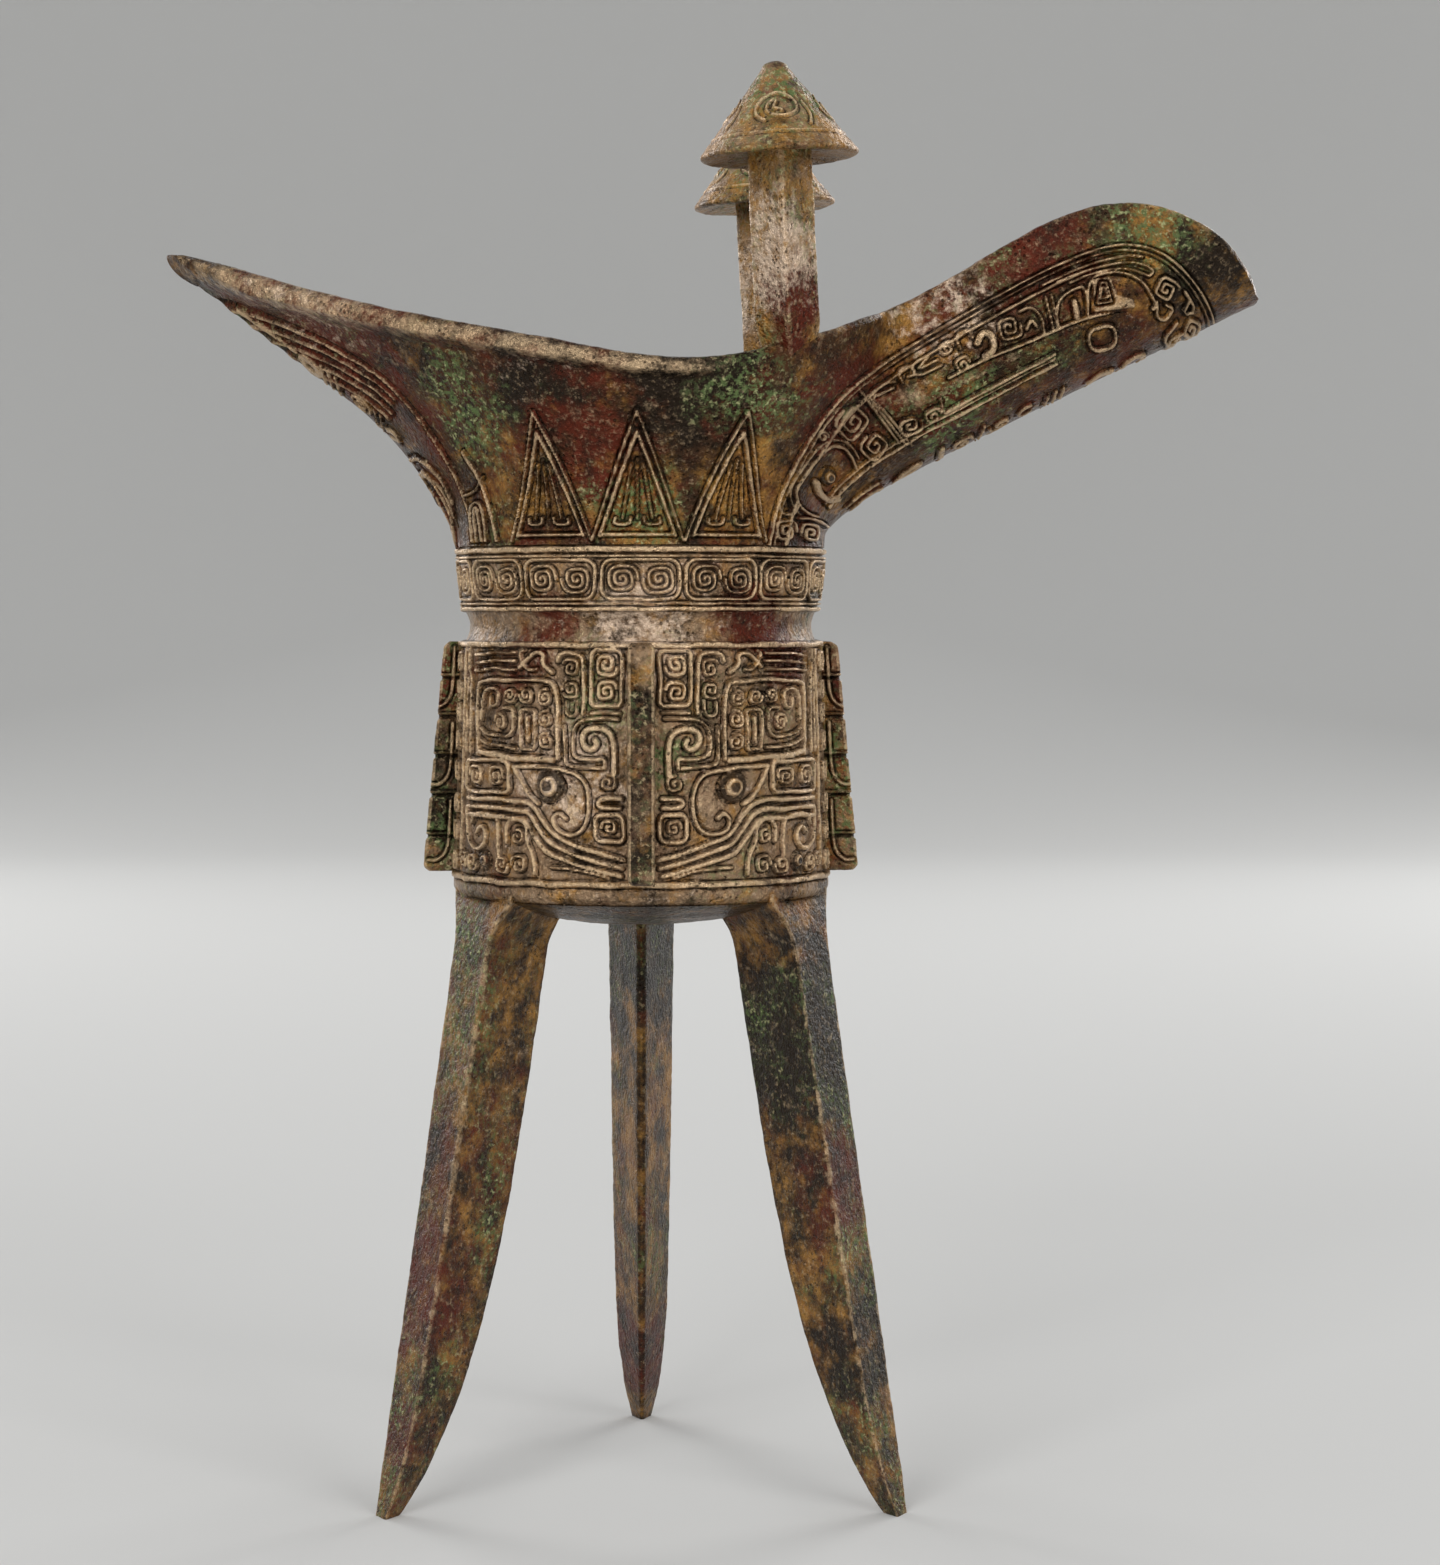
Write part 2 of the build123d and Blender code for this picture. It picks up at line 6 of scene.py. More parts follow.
import bpy
import numpy as np
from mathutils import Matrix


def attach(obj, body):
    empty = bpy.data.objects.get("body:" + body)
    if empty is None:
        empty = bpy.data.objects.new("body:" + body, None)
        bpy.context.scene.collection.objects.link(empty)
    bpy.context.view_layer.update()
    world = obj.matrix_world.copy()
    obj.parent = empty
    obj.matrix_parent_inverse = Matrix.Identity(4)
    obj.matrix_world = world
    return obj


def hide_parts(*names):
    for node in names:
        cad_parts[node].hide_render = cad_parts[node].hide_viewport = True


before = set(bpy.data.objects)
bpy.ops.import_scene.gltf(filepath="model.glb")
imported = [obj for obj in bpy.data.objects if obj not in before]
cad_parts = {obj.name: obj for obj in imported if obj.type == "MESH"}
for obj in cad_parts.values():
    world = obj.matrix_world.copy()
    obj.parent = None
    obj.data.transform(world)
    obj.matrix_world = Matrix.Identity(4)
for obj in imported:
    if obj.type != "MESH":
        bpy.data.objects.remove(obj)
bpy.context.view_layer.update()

bl_info = {
    "name": "Bronze jue",
    "version": (1, 0, 0),
    "blender": (4, 5, 0),
    "location": "3D View > Sidebar > Jue",
    "description": "Dresses a packed bronze jue in cast ornament and patina",
    "category": "Object",
}

# The cup's own sizes, in millimetres, as the solids have them
MM = 0.001
CUP_EDGE_Z = 85.4
BASE_SAG = 4.4
BELLY_TOP_Z = 121.6
WAIST_TOP_Z = 125.6
NECK_Z = 134.8
FLOOR_Z = 87.5
BELLY_BOTTOM_RADIUS = 26.9
BELLY_TOP_RADIUS = 25.8
BELLY_WALL = 2.8
EDGE_RADIUS = 27.3
WAIST_RADIUS = 24.4
WAIST_SWELL = 0.6
BAND_BOTTOM_RADIUS = 25.4
NECK_RADIUS = 26.3
MOUTH_WALL = 2.4
CUP_BORE = 23.0

# The flaring mouth
SPOUT_RUN = 2.13
SPOUT_BEND = 5.8
SPOUT_SETBACK = 1.0
SPOUT_HALF_WIDTH = 13.2
SPOUT_NOSE = 30.0
TAIL_RUN = 1.4
TAIL_BEND = 17.0
TAIL_POINT = 1.6
SIDE_RUN = 0.6
SIDE_BEND = 18.0
SIDE_HOLD_RISE = 20.0
SIDE_HOLD_EASE = 8.0
CUP_SQUARENESS = 2.4
CUP_FRONT_SHARE = 1.05
FLARE_EASE = 22.0
ROOT_FILLET = 6.0
ROOT_FILLET_RISE = 8.0
SPOUT_JOINT_X = 36.0
TAIL_JOINT_X = -30.0
RIM_X = (-67.36, -39.5, -11.4, 6.6, 26.3, 45.0, 67.6, 81.0, 87.8)
RIM_RISE = (43.1, 33.6, 27.3, 24.9, 29.4, 38.4, 47.8, 43.2, 35.6)
HIGHEST_RISE = 52.0
FARTHEST = 120.0
WIDEST_TURN = 1.2

# Legs, flanges, posts, caps and handle
LEG_ANGLES = {"leg_rear": 90.0, "leg_front_left": 210.0, "leg_front_right": 330.0}
LEG_SETBACK = 0.7
LEG_SPLAY = 14.0
TOE_KICK = 1.3
KICK_POWER = 8
LEG_DEPTH = 12.3
TOE_DEPTH = 2.9
DEPTH_POWERS = (4.0, 0.9)
LEG_HALF_WIDTH = 5.15
LEG_TAPER = 1.2
TOE_NARROWING = 0.6
NARROWING_POWER = 10
KEEL_HALF_WIDTH = 1.6
LEG_SHOULDER = 2.5
SHOULDER_DROP = 7.5
FLANGE_ANGLES = {"flange_front": -90.0, "flange_spout_side": 0.0, "flange_tail_side": 180.0}
FLANGE_THICKNESS = 4.1
FLANGE_TOP_REACH = 2.3
FLANGE_BOTTOM_REACH = 4.4
FLANGE_SEAT = 0.9
FLANGE_BOTTOM_Z = 88.6
FLANGE_TOP_Z = 121.4
POST_X = 20.2
POST_Y = 29.5
POST_SIDE = 6.4
POST_LEAN = 3.0
POST_FOOT_Z = 157.8
POST_TOP_Z = 186.4
CAP_RADIUS = 10.6
CAP_HEIGHT = 13.0
CAP_BRIM = 1.6
CAP_TIP_RADIUS = 1.8
CAP_HOLLOW = 1.4
HANDLE_WIDTH = 8.0
HANDLE_THICKNESS = 4.4
HANDLE_OUT_Y = 41.4
HANDLE_BOTTOM_Z = 91.4
HANDLE_TOP_Z = 115.4
HANDLE_CORNER = 8.0
HEAD_BACK_Y = 27.4
HEAD_LENGTH = 12.0
HEAD_WIDTH = 8.6
HEAD_HEIGHT = 6.0

# Details of drum, rings and mouth that only the dressed cup has
BELLY_EDGE_RISE = 1.4
BELLY_EDGE_DEPTH = 0.9
BELLY_INNER_LIFT = 1.0
MASK_FOOT = 2.6
MASK_REACH = 60.0
BASE_INSET = 0.9
BASE_LAP = 1.5
BASE_LAP_LIFT = 0.6
WAIST_LAP = 0.6
BAND_PAIRS = 14
BAND_LINES = ((0.4, 0.6), (1.15, 0.36), (7.65, 0.36), (8.55, 0.75))
BAND_LINE_REACH = 9.0
NECK_STOPS = (180.0, 146.0, 42.0, 0.0)
BLADE_ANGLES = (-28.5, -1.0, 27.0)
BLADE_HALF = 6.3
BLADE_RISE = 17.8
KEEL_EASE = 1.5
KEEL_RELIEF = 0.2
LIP_SHARE = 0.4
LIP_LEAN = 0.75
TIP_CROWDING = 1.6
TAIL_SAG_OUT = (25.5, 29.0, 34.0, 41.0, 48.0, 54.0, 60.0, 63.0)
TAIL_SAG = (0.0, 1.4, 1.1, 1.2, 1.9, 2.3, 2.4, 2.5)
TAIL_SAG_POWER = 1.5
TAIL_BLUNT_OUT = 63.0
TAIL_BLUNT_DEPTH = 4.4
TAIL_BLUNT_HALF = 2.9
TAIL_TIP_DROP = 1.9
RIM_BAND_X = (-66.0, -58.0, -40.0, -20.0, 0.0, 14.0, 20.0)
RIM_BAND = (2.2, 2.6, 2.6, 2.4, 1.9, 1.4, 1.2)
RIM_BAND_EASE = 1.3
RIM_BAND_ROLL = 0.9
RIM_BAND_SHARE = 0.5
RIM_BAND_TIP = 1.5
RIM_BAND_END_X = 18.0

# Details of legs, flanges, posts and caps
LEG_CROWDING = 1.2
LEG_LAP = 1.2
LEG_KEEL_SHARPNESS = 0.4
TOE_CRISPNESS = 0.4
ARRIS_SWEEP = 3.4
FLANGE_NOTCHES = (0.15, 0.33, 0.5, 0.67, 0.84)
FLANGE_FRONT_THINNING = 0.2
FLANGE_NICK = 0.22
FLANGE_NICK_SHARE = 0.8
FLANGE_NOTCH_HALF = 0.32
FLANGE_NOTCH_EASE = 1.6
FLANGE_END = 1.0
FLANGE_END_DROP = 0.8
FLANGE_END_THINNING = 0.5
FLANGE_SOFTNESS = 0.4
FLANGE_FLAT_SHARE = 0.6
FLANGE_RELIEF = 0.7
POST_LENGTH = (POST_TOP_Z - POST_FOOT_Z) / math.cos(math.radians(POST_LEAN))
POST_SIDES = {"front": -1, "rear": 1}
POST_LAP = 1.2
POST_FOOT_BLEND = 7.5
POST_FOOT_FLATTENING = 0.8
POST_FLAT_POWER = 1.3
POST_WIDE_POWER = 2.2
POST_FOOT_SHIFT = 2.4
CAP_CONE_INSET = 0.25
CAP_CONE_START = 0.95
CAP_TIP_HEIGHT = 0.9
CAP_UNDER_INSET = 0.6
CAP_EDGE_RADIUS = 0.5
CAP_EDGE_TURNS = (-0.4, 0.72)
CAP_WHORLS = 4

# Details of the handle and its head, whose places are measured from the head's back on the handle's top
HANDLE_SEAT = 1.4
BAR_ROUNDING = 0.42
STRAP_ROUNDING = 0.22
STRAP_RELIEF = 0.8
STRAP_SLACK = 0.01
STRAP_EDGE = 2.7
STRAP_PITCH = 5.6
CROSSWISE = (1.0, 0.0, 0.0)
LENGTHWISE = (0.0, 1.0, 0.0)
SNOUT_START = 0.2
SNOUT_WIDTH = (0.36, 1.3, 0.5, 0.85)
SNOUT_DEPTH = (0.4, 1.4, 0.4, 0.88)
SKULL_SINK = 0.1
NOSE_SPAN = (12, 56)
NOSE_SINK = 0.15
NOSE_WIDTH = 1.3
NOSE_HEIGHT = 1.1
HORN_SWEEP = 200
HORN_ROOT = (2.4, 2.4, -1.4)
HORN_SWING = (2.0, 1.2, 3.6)
HORN_RATES = (0.8, 0.62)
HORN_THICKNESS = 2.6
HORN_TAPER = 0.72
BROW_ROOT = (0.9, 4.6, 5.1)
BROW_RUN = (2.9, 2.6, -1.6)
BROW_THICKNESS = 1.2
BROW_TAPER = 0.5
EYE_PLACE = (2.7, 7.0, 3.3)
EYE_RADIUS = 1.15
NOSTRIL_PLACE = (1.3, 11.2, 2.3)
NOSTRIL_RADIUS = 0.75

# Heights over a skin as the materials read them, from 0 in a groove to 1 on a ridge
PLAIN = 0.5
GROUND = 0.42
# The rounded lip: rubbed, and partly a painted highlight
LIP_WEAR_AND_HIGHLIGHT = 0.66
# The band under the rim: rubbed, and a painted highlight; the head's beads take the same level as wear
RIM_HIGHLIGHT_AND_WEAR = 0.8
# The base's underside, dark as painted shade
UNDERSIDE_PAINTED_SHADE = 0.15
# Arrises of legs, posts and flanges: rubbed, and partly a painted highlight
ARRIS_WEAR_AND_HIGHLIGHT = 0.24
POST_ARRIS_WEAR_AND_HIGHLIGHT = 0.16
FLANGE_ARRIS_WEAR_AND_HIGHLIGHT = 0.3

# Widths of the ornament's lines
BROAD_LINE = 0.8
LINE = 0.56
STRIPE_LINE = 0.5
FINE_LINE = 0.42
HOOK_LINE = 0.4
THIN_LINE = 0.36
HAIR_LINE = 0.34

# Unevenness of the cast skin, and of lines cut by hand
LUMP_SEED = 7
LUMP_WAVES = 14
LUMP_SPREAD = (0.7, 1.5)
LUMP_CALM = 5
LUMP_HEIGHT = 0.06
LUMP_SIZE = 6.0
GRIT_HEIGHT = 0.035
GRIT_SIZE = 1.5
HAND_SHAKE = 0.13
SHAKE_SIZE = 5.0
SHAKE_SHIFT = 40.0
SMOOTH_ANGLE = 78
MERGE_DISTANCE = 1e-7
TINY = 1e-6
LEAST_DIVISOR = 1e-9
LEAST_LENGTH = 1e-12

# How finely the drawn paths and the skins are divided
CURL_POINTS = 18
CURL_LEAST_POINTS = 8
CORNER_CUT = 0.25
CORNER_POINTS = 6
RIM_POINTS = 1200
INNER_ROWS = 22
LIP_ROWS = 9
BELLY_COLUMNS = 460
BELLY_ROWS = 180
BASE_COLUMNS = 180
BASE_ROWS = 40
WAIST_COLUMNS = 256
WAIST_ROWS = 24
BAND_COLUMNS = 1280
BAND_ROWS = 62
BAND_INNER_ROWS = 4
MOUTH_SPANS = (84, 256, 120)
MOUTH_ROWS = 168
JOINT_POINTS = 200
EDGE_POINTS = 900
TROUGH_POINTS = 240
SPOUT_GRID = (340, 190)
TAIL_GRID = (220, 140)
LEG_ROWS = 150
FLANGE_ROWS = 220
POST_ROWS = 120
CAP_COLUMNS = 300
CAP_CONE_ROWS = 84
CAP_TIP_ROWS = 9
CAP_UNDER_ROWS = 12
CAP_EDGE_ROWS = 7
BEND_STEPS = 6
SIDE_STEPS = 14
FLANGE_SIDE_STEPS = 26
BAR_BEND_STEPS = 8
BAR_SIDE_STEPS = 6
STRAP_SIDE_STEPS = 34
HANDLE_POINTS = 40
GRIP_POINTS = 60
HEAD_POINTS = 60
HORN_POINTS = 40
BEAD_SEGMENTS = 36
BEAD_RINGS = 18

# Patina: noises as scale, detail and roughness, steps as their two ends, and how much each effect counts
PATCH_SHIFTS = {
    "skin": (0.0, 0.0, 0.0), "ochre": (0.0, 0.47, 0.0), "red": (0.31, 0.0, 0.0), "dark": (0.0, 0.0, 0.59),
    "pale": (0.2, 0.9, 0.4), "green": (0.71, 0.13, 0.0), "speckle": (0.0, 0.83, 0.29),
}
PATCH_SCALES = {
    "skin": 130.0, "ochre": 300.0, "red": 120.0, "dark": 190.0, "pale": 620.0, "green": 75.0,
    "speckle": 1100.0,
}
PATCH_DETAIL = (6.0, 0.72)
PATCH_LEVEL = (-0.5, 0.75)
PATCH_EDGE = 0.13
SKIN_COVER = 0.62
SKIN_EDGE = 0.16
BLOOM_EDGE = 0.12
SPECKLE_COVER = 0.44
SPECKLE_EDGE = 0.07
SPOT_NOISE = (160.0, 3.0, 0.6)
SPOT_RAGGEDNESS = 0.9
SPOT_FADE = (1.35, 0.75)
GRAIN_SCALE = 1300.0
GRAIN_DETAIL = (3.0, 0.65)
GRAIN_STEP = (0.55, 0.7)
PIT_NOISE = (260.0, 3.0, 0.6)
PIT_STEP = (0.1, 0.34)
PIT_SPREAD = (0.4, 0.56)
PIT_HEIGHT = 0.5
WEAR_NOISE = (420.0, 6.0, 0.8)
WEAR_UNEVENNESS = (1.5, -0.75)
RIDGE_STEP = (0.56, 1.0)
GROUND_STEP = (0.4, 0.05)
GROUND_DARKNESS = 0.85
PIT_DARKNESS = 0.6
RIDGE_METAL = 0.4
ROUGHNESS = 0.12
GRIT_ROUGHNESS = 0.12
GREEN_ROUGHNESS = 0.2
SPECULAR = 0.17
BUMP_DISTANCE = 0.0007

# The stage, in metres and watts, and the photograph's camera
FLOOR_SIDES = 160
FLOOR_RADIUS = 2.2
FLOOR_HEIGHT = 0.9
FLOOR_SWEEP = 0.85
FLOOR_SWEEP_STEPS = 32
FLOOR_SMOOTH_ANGLE = 40
FLOOR_ROUGHNESS = 0.9
FACE_SLACK = 0.01
WORLD_COLOUR = (0.6, 0.6, 0.6, 1.0)
WORLD_STRENGTH = 0.82
LAMP_SIZE = 0.7
LAMP_AIM_Z = 0.11
LAMPS = (
    ("key", (-0.6, -1.2, 0.7), 8.6),
    ("fill", (0.8, -1.1, 0.68), 6.4),
    ("back left", (-0.8, 1.1, 0.6), 6.0),
    ("back right", (0.8, 1.1, 0.6), 6.0),
)
CAMERA_PLACE = (0.0, -0.515, 0.1256)
CAMERA_DIP = 2.72
CAMERA_TURN = 1.26
CAMERA_SENSOR = 36.0
CAMERA_LENS = 82.6
CAMERA_CLIP = 0.01


def smooth(value):
    """An S-shaped step from 0 to 1."""
    held = np.clip(value, 0.0, 1.0)
    return held * held * (3 - 2 * held)


def skin_reach(rise, root, run, bend, inset):
    """How far a skin reaches from the axis at a rise above the neck."""
    slope = run * rise / np.hypot(rise, bend)
    return root + run * (np.hypot(rise, bend) - bend) - inset * np.sqrt(1 + slope**2)


def side_reach(rise, inset):
    """Half width of the mouth, which stops flaring near the rim."""
    over = np.maximum(0.0, rise - SIDE_HOLD_RISE)
    held = np.minimum(rise, SIDE_HOLD_RISE) + SIDE_HOLD_EASE * (1 - np.exp(-over / SIDE_HOLD_EASE))
    return skin_reach(held, NECK_RADIUS, SIDE_RUN, SIDE_BEND, inset)


def tail_reach(rise, inset):
    """How far the tail reaches behind the axis."""
    return skin_reach(rise, NECK_RADIUS, TAIL_RUN, TAIL_BEND, inset)


def spout_reach(rise, inset):
    """How far the spout's keel reaches in front of the axis."""
    return skin_reach(rise, NECK_RADIUS - SPOUT_SETBACK, SPOUT_RUN, SPOUT_BEND, inset)


def natural_spline(knots, values, wanted):
    """A natural cubic spline through values at knots."""
    gaps = np.diff(knots)
    count = len(knots)
    system = np.eye(count)
    pull = np.zeros(count)
    for i in range(1, count - 1):
        system[i, i - 1 : i + 2] = (gaps[i - 1], 2 * (gaps[i - 1] + gaps[i]), gaps[i])
        pull[i] = 6 * ((values[i + 1] - values[i]) / gaps[i] - (values[i] - values[i - 1]) / gaps[i - 1])
    bends = np.linalg.solve(system, pull)
    span = np.clip(np.searchsorted(knots, wanted) - 1, 0, count - 2)
    left = wanted - knots[span]
    right = knots[span + 1] - wanted
    gap = gaps[span]
    return (
        (bends[span] * right**3 + bends[span + 1] * left**3) / (6 * gap)
        + (values[span] / gap - bends[span] * gap / 6) * right
        + (values[span + 1] / gap - bends[span + 1] * gap / 6) * left
    )


def rim_curve():
    """The rim seen from the side, as many close points."""
    x = np.array(RIM_X)
    rise = np.array(RIM_RISE)
    knots = np.concatenate([[0.0], np.cumsum(np.hypot(np.diff(x), np.diff(rise)))])
    wanted = np.linspace(0.0, knots[-1], RIM_POINTS)
    return natural_spline(knots, x, wanted), natural_spline(knots, rise, wanted)


RIM_LINE = rim_curve()


def rim_rise(x):
    """The rim's height above the neck."""
    return np.interp(x, *RIM_LINE)


def halved(inside, low, high, rounds=44):
    """The largest value between low and high for which inside(value) still holds."""
    for _ in range(rounds):
        middle = (low + high) / 2
        held = inside(middle)
        low = np.where(held, middle, low)
        high = np.where(held, high, middle)
    return low


def front_radius(angle, rise, inset):
    """The round front of the cup at an angle from the spout."""
    ease = smooth(rise / FLARE_EASE)
    side = side_reach(rise, inset)
    front = side * (1 + (CUP_FRONT_SHARE - 1) * ease)
    power = 2 + (CUP_SQUARENESS - 2) * ease
    across = (np.abs(np.cos(angle)) / front) ** power
    out = (np.abs(np.sin(angle)) / side) ** power
    return (across + out) ** (-1 / power)


def back_radius(angle, rise, inset):
    """The pointed back of the cup at an angle from the spout."""
    side = side_reach(rise, inset)
    back = tail_reach(rise, inset)
    pinch = (1 + (TAIL_POINT - 1) * smooth(rise / FLARE_EASE)) / 2
    across = np.abs(np.cos(angle))
    out = np.abs(np.sin(angle))

    def inside(radius):
        return side * np.maximum(0.0, 1 - (radius * across / back) ** 2) ** pinch > radius * out

    nearest = np.zeros_like(side + angle)
    return halved(inside, nearest, nearest + FARTHEST)


def spout_radius(angle, rise, inset):
    """The spout's radius at an angle from its own line, seen from the cup's axis."""
    tip = spout_reach(rise, inset)
    centre = spout_reach(rise, 0.0) - SPOUT_NOSE
    nose = tip - centre
    half = SPOUT_HALF_WIDTH - inset
    across = np.maximum(np.cos(angle), LEAST_DIVISOR)
    out = np.maximum(np.sin(angle), LEAST_DIVISOR)
    stretch = across**2 / nose**2 + out**2 / half**2
    lean = across * centre / nose**2
    rounded_nose = (lean + np.sqrt(np.maximum(0.0, lean**2 - stretch * (centre**2 / nose**2 - 1)))) / stretch
    straight = half / out
    radius = np.where(straight * across < centre, straight, rounded_nose)
    return np.where(np.cos(angle) > 0, radius, 0.0)


def root_radius(angle, rise, inset):
    """The cup's front and the spout together, with a fillet where they meet."""
    cup = front_radius(angle, rise, inset)
    spout = spout_radius(angle, rise, inset)
    fillet = ROOT_FILLET * smooth(rise / ROOT_FILLET_RISE) + LEAST_DIVISOR
    close = np.maximum(fillet - np.abs(cup - spout), 0.0) / fillet
    return np.maximum(cup, spout) + close**2 * fillet / 4


def mouth_radius(angle, rise, inset):
    """The whole mouth's radius at an angle from the spout, 0 to pi."""
    return np.where(np.cos(angle) >= 0, root_radius(angle, rise, inset), back_radius(angle, rise, inset))


def drum_radius(z):
    """The belly's plain outer radius."""
    share = (z - CUP_EDGE_Z) / (BELLY_TOP_Z - CUP_EDGE_Z)
    return BELLY_BOTTOM_RADIUS + (BELLY_TOP_RADIUS - BELLY_BOTTOM_RADIUS) * share


class Relief:
    """Height over a skin, drawn in the skin's own millimetres.

    It is 0 in the grooves, about 0.5 on plain metal and 1 on ridges. Each ridge has a groove along both
    sides of it, which cuts the ground but never another ridge. A boss's rings are shares of its radius.
    """

    FLANK = 0.22
    GROOVE = 0.26
    # A bright ring kept on each boss as a painted highlight: its place and width as shares of the radius
    HIGHLIGHT_RING = 0.46
    HIGHLIGHT_RING_WIDTH = 0.11
    MOAT = 0.68
    MOAT_WIDTH = 0.1
    MOAT_DEPTH = 0.4
    RING_EASE = 1.5

    def __init__(self, across, up, ground):
        self.across = across
        self.up = up
        self.ground = np.full(across.shape, ground)
        self.groove = np.zeros(across.shape)
        self.ridge = np.zeros(across.shape)
        self.cut = np.zeros(across.shape)
        self.boss = np.zeros(across.shape)

    def along(self, across, up):
        """The same heights, drawn on by other coordinates."""
        view = object.__new__(Relief)
        view.__dict__.update(self.__dict__)
        view.across = across
        view.up = up
        return view

    def surface(self):
        """The finished height."""
        return np.maximum(self.ridge, self.ground * (1 - self.groove)) - self.cut

    def wear(self):
        """How bright the height is rubbed: bosses stay dark but for a thin ring, kept bright as a painted
        highlight.
        """
        return np.clip(self.surface(), 0.0, 1.0) * (1 - self.boss)

    def near(self, path, reach):
        """Points of the skin within reach of a path, and their distance from it."""
        low = path.min(axis=0) - reach
        high = path.max(axis=0) + reach
        found = np.nonzero(
            (self.across > low[0]) & (self.across < high[0]) & (self.up > low[1]) & (self.up < high[1])
        )
        across = self.across[found]
        up = self.up[found]
        distance = np.full(across.shape, np.inf)
        for start, end in zip(path[:-1], path[1:]):
            run = end - start
            share = ((across - start[0]) * run[0] + (up - start[1]) * run[1]) / max(run @ run, LEAST_LENGTH)
            share = np.clip(share, 0.0, 1.0)
            distance = np.minimum(
                distance, np.hypot(across - start[0] - share * run[0], up - start[1] - share * run[1])
            )
        return found, distance

    def raise_line(self, path, width, level=1.0):
        """A ridge along a path, with a groove on each side."""
        outside = width / 2 + self.FLANK / 2
        found, distance = self.near(np.asarray(path, float), outside + self.GROOVE)
        ridge = level * smooth((outside - distance) / self.FLANK)
        groove = smooth((outside + self.GROOVE - distance) / self.FLANK)
        self.ridge[found] = np.maximum(self.ridge[found], ridge)
        self.groove[found] = np.maximum(self.groove[found], groove)

    def bend_line(self, points, width, level=1.0):
        """A ridge along a path whose corners are cut round."""
        self.raise_line(rounded(points), width, level)

    def cut_line(self, path, width, depth):
        """A groove cut into whatever is there."""
        outside = width / 2 + self.FLANK / 2
        found, distance = self.near(np.asarray(path, float), outside)
        self.cut[found] = np.maximum(self.cut[found], depth * smooth((outside - distance) / self.FLANK))

    def raise_boss(self, centre, radius, level):
        """A round boss with a groove about it, a ring cut near its top and a thin bright ring of painted
        highlight.
        """
        distance = np.hypot(self.across - centre[0], self.up - centre[1])
        boss = level * np.sqrt(np.maximum(0.0, 1 - (distance / radius) ** 2))
        ring = smooth(self.RING_EASE - np.abs(distance - self.HIGHLIGHT_RING * radius) / (self.HIGHLIGHT_RING_WIDTH * radius))
        moat = smooth(self.RING_EASE - np.abs(distance - self.MOAT * radius) / (self.MOAT_WIDTH * radius))
        self.ridge[:] = np.maximum(self.ridge, boss)
        self.cut[:] = np.maximum(self.cut, self.MOAT_DEPTH * moat)
        self.groove[:] = np.maximum(self.groove, smooth((radius + self.GROOVE - distance) / self.FLANK))
        self.boss[:] = np.maximum(self.boss, smooth((radius - distance) / self.FLANK) * (1 - ring))

    def fill_area(self, outline, level):
        """A flat field inside a closed outline, clear of what was drawn there before."""
        path = np.asarray(outline, float)
        found, distance = self.near(path, np.ptp(path, axis=0).max())
        across = self.across[found]
        up = self.up[found]
        inside = np.zeros(across.shape, bool)
        for start, end in zip(path, np.roll(path, -1, axis=0)):
            crosses = (start[1] > up) != (end[1] > up)
            rise = end[1] - start[1] if abs(end[1] - start[1]) > LEAST_LENGTH else LEAST_LENGTH
            inside ^= crosses & (across < start[0] + (up - start[1]) / rise * (end[0] - start[0]))
        share = smooth(np.where(inside, distance, -distance) / self.FLANK + 0.5)
        self.ground[found] = self.ground[found] * (1 - share) + level * share
        self.groove[found] *= 1 - share
        self.ridge[found] *= 1 - share


def curl(centre, half, turns=1.7, begin=0.0, hand=1, squareness=2.0, heart=0.16, stretch=1.0, lean=0.0):
    """A spiral path, round at squareness 2 and square-shouldered above it, leaning by some degrees."""
    share = np.linspace(0.0, 1.0, int(CURL_POINTS * turns) + CURL_LEAST_POINTS)
    angle = math.radians(begin) + hand * 2 * math.pi * turns * share
    across = np.cos(angle)
    up = np.sin(angle)
    bulge = (np.abs(across) ** squareness + np.abs(up) ** squareness) ** (-1 / squareness)
    radius = half * (1 - (1 - heart) * share) * bulge
    return leaned(np.column_stack([stretch * radius * across, radius * up]), centre, lean)


def leaned(path, centre, degrees):
    """A path drawn about zero, turned by some degrees and moved to its centre."""
    path = np.asarray(path, float)
    turn = math.radians(degrees)
    across = path[:, 0] * math.cos(turn) - path[:, 1] * math.sin(turn)
    up = path[:, 0] * math.sin(turn) + path[:, 1] * math.cos(turn)
    return np.column_stack([centre[0] + across, centre[1] + up])


def rounded(points, passes=3):
    """An open path with its corners cut round."""
    path = np.asarray(points, float)
    for _ in range(passes):
        first = (1 - CORNER_CUT) * path[:-1] + CORNER_CUT * path[1:]
        second = CORNER_CUT * path[:-1] + (1 - CORNER_CUT) * path[1:]
        middle = np.stack([first, second], axis=1).reshape(-1, 2)
        path = np.vstack([path[:1], middle, path[-1:]])
    return path


def rounded_frame(left, bottom, right, top, corner):
    """A closed rectangle with round corners."""
    quarter = np.linspace(0.0, math.pi / 2, CORNER_POINTS)
    path = []
    for turn, (x, up) in enumerate(
        ((right - corner, top - corner), (left + corner, top - corner), (left + corner, bottom + corner),
         (right - corner, bottom + corner))
    ):
        angle = quarter + turn * math.pi / 2
        path.append(np.column_stack([x + corner * np.cos(angle), up + corner * np.sin(angle)]))
    path.append(path[0][:1])
    return np.vstack(path)


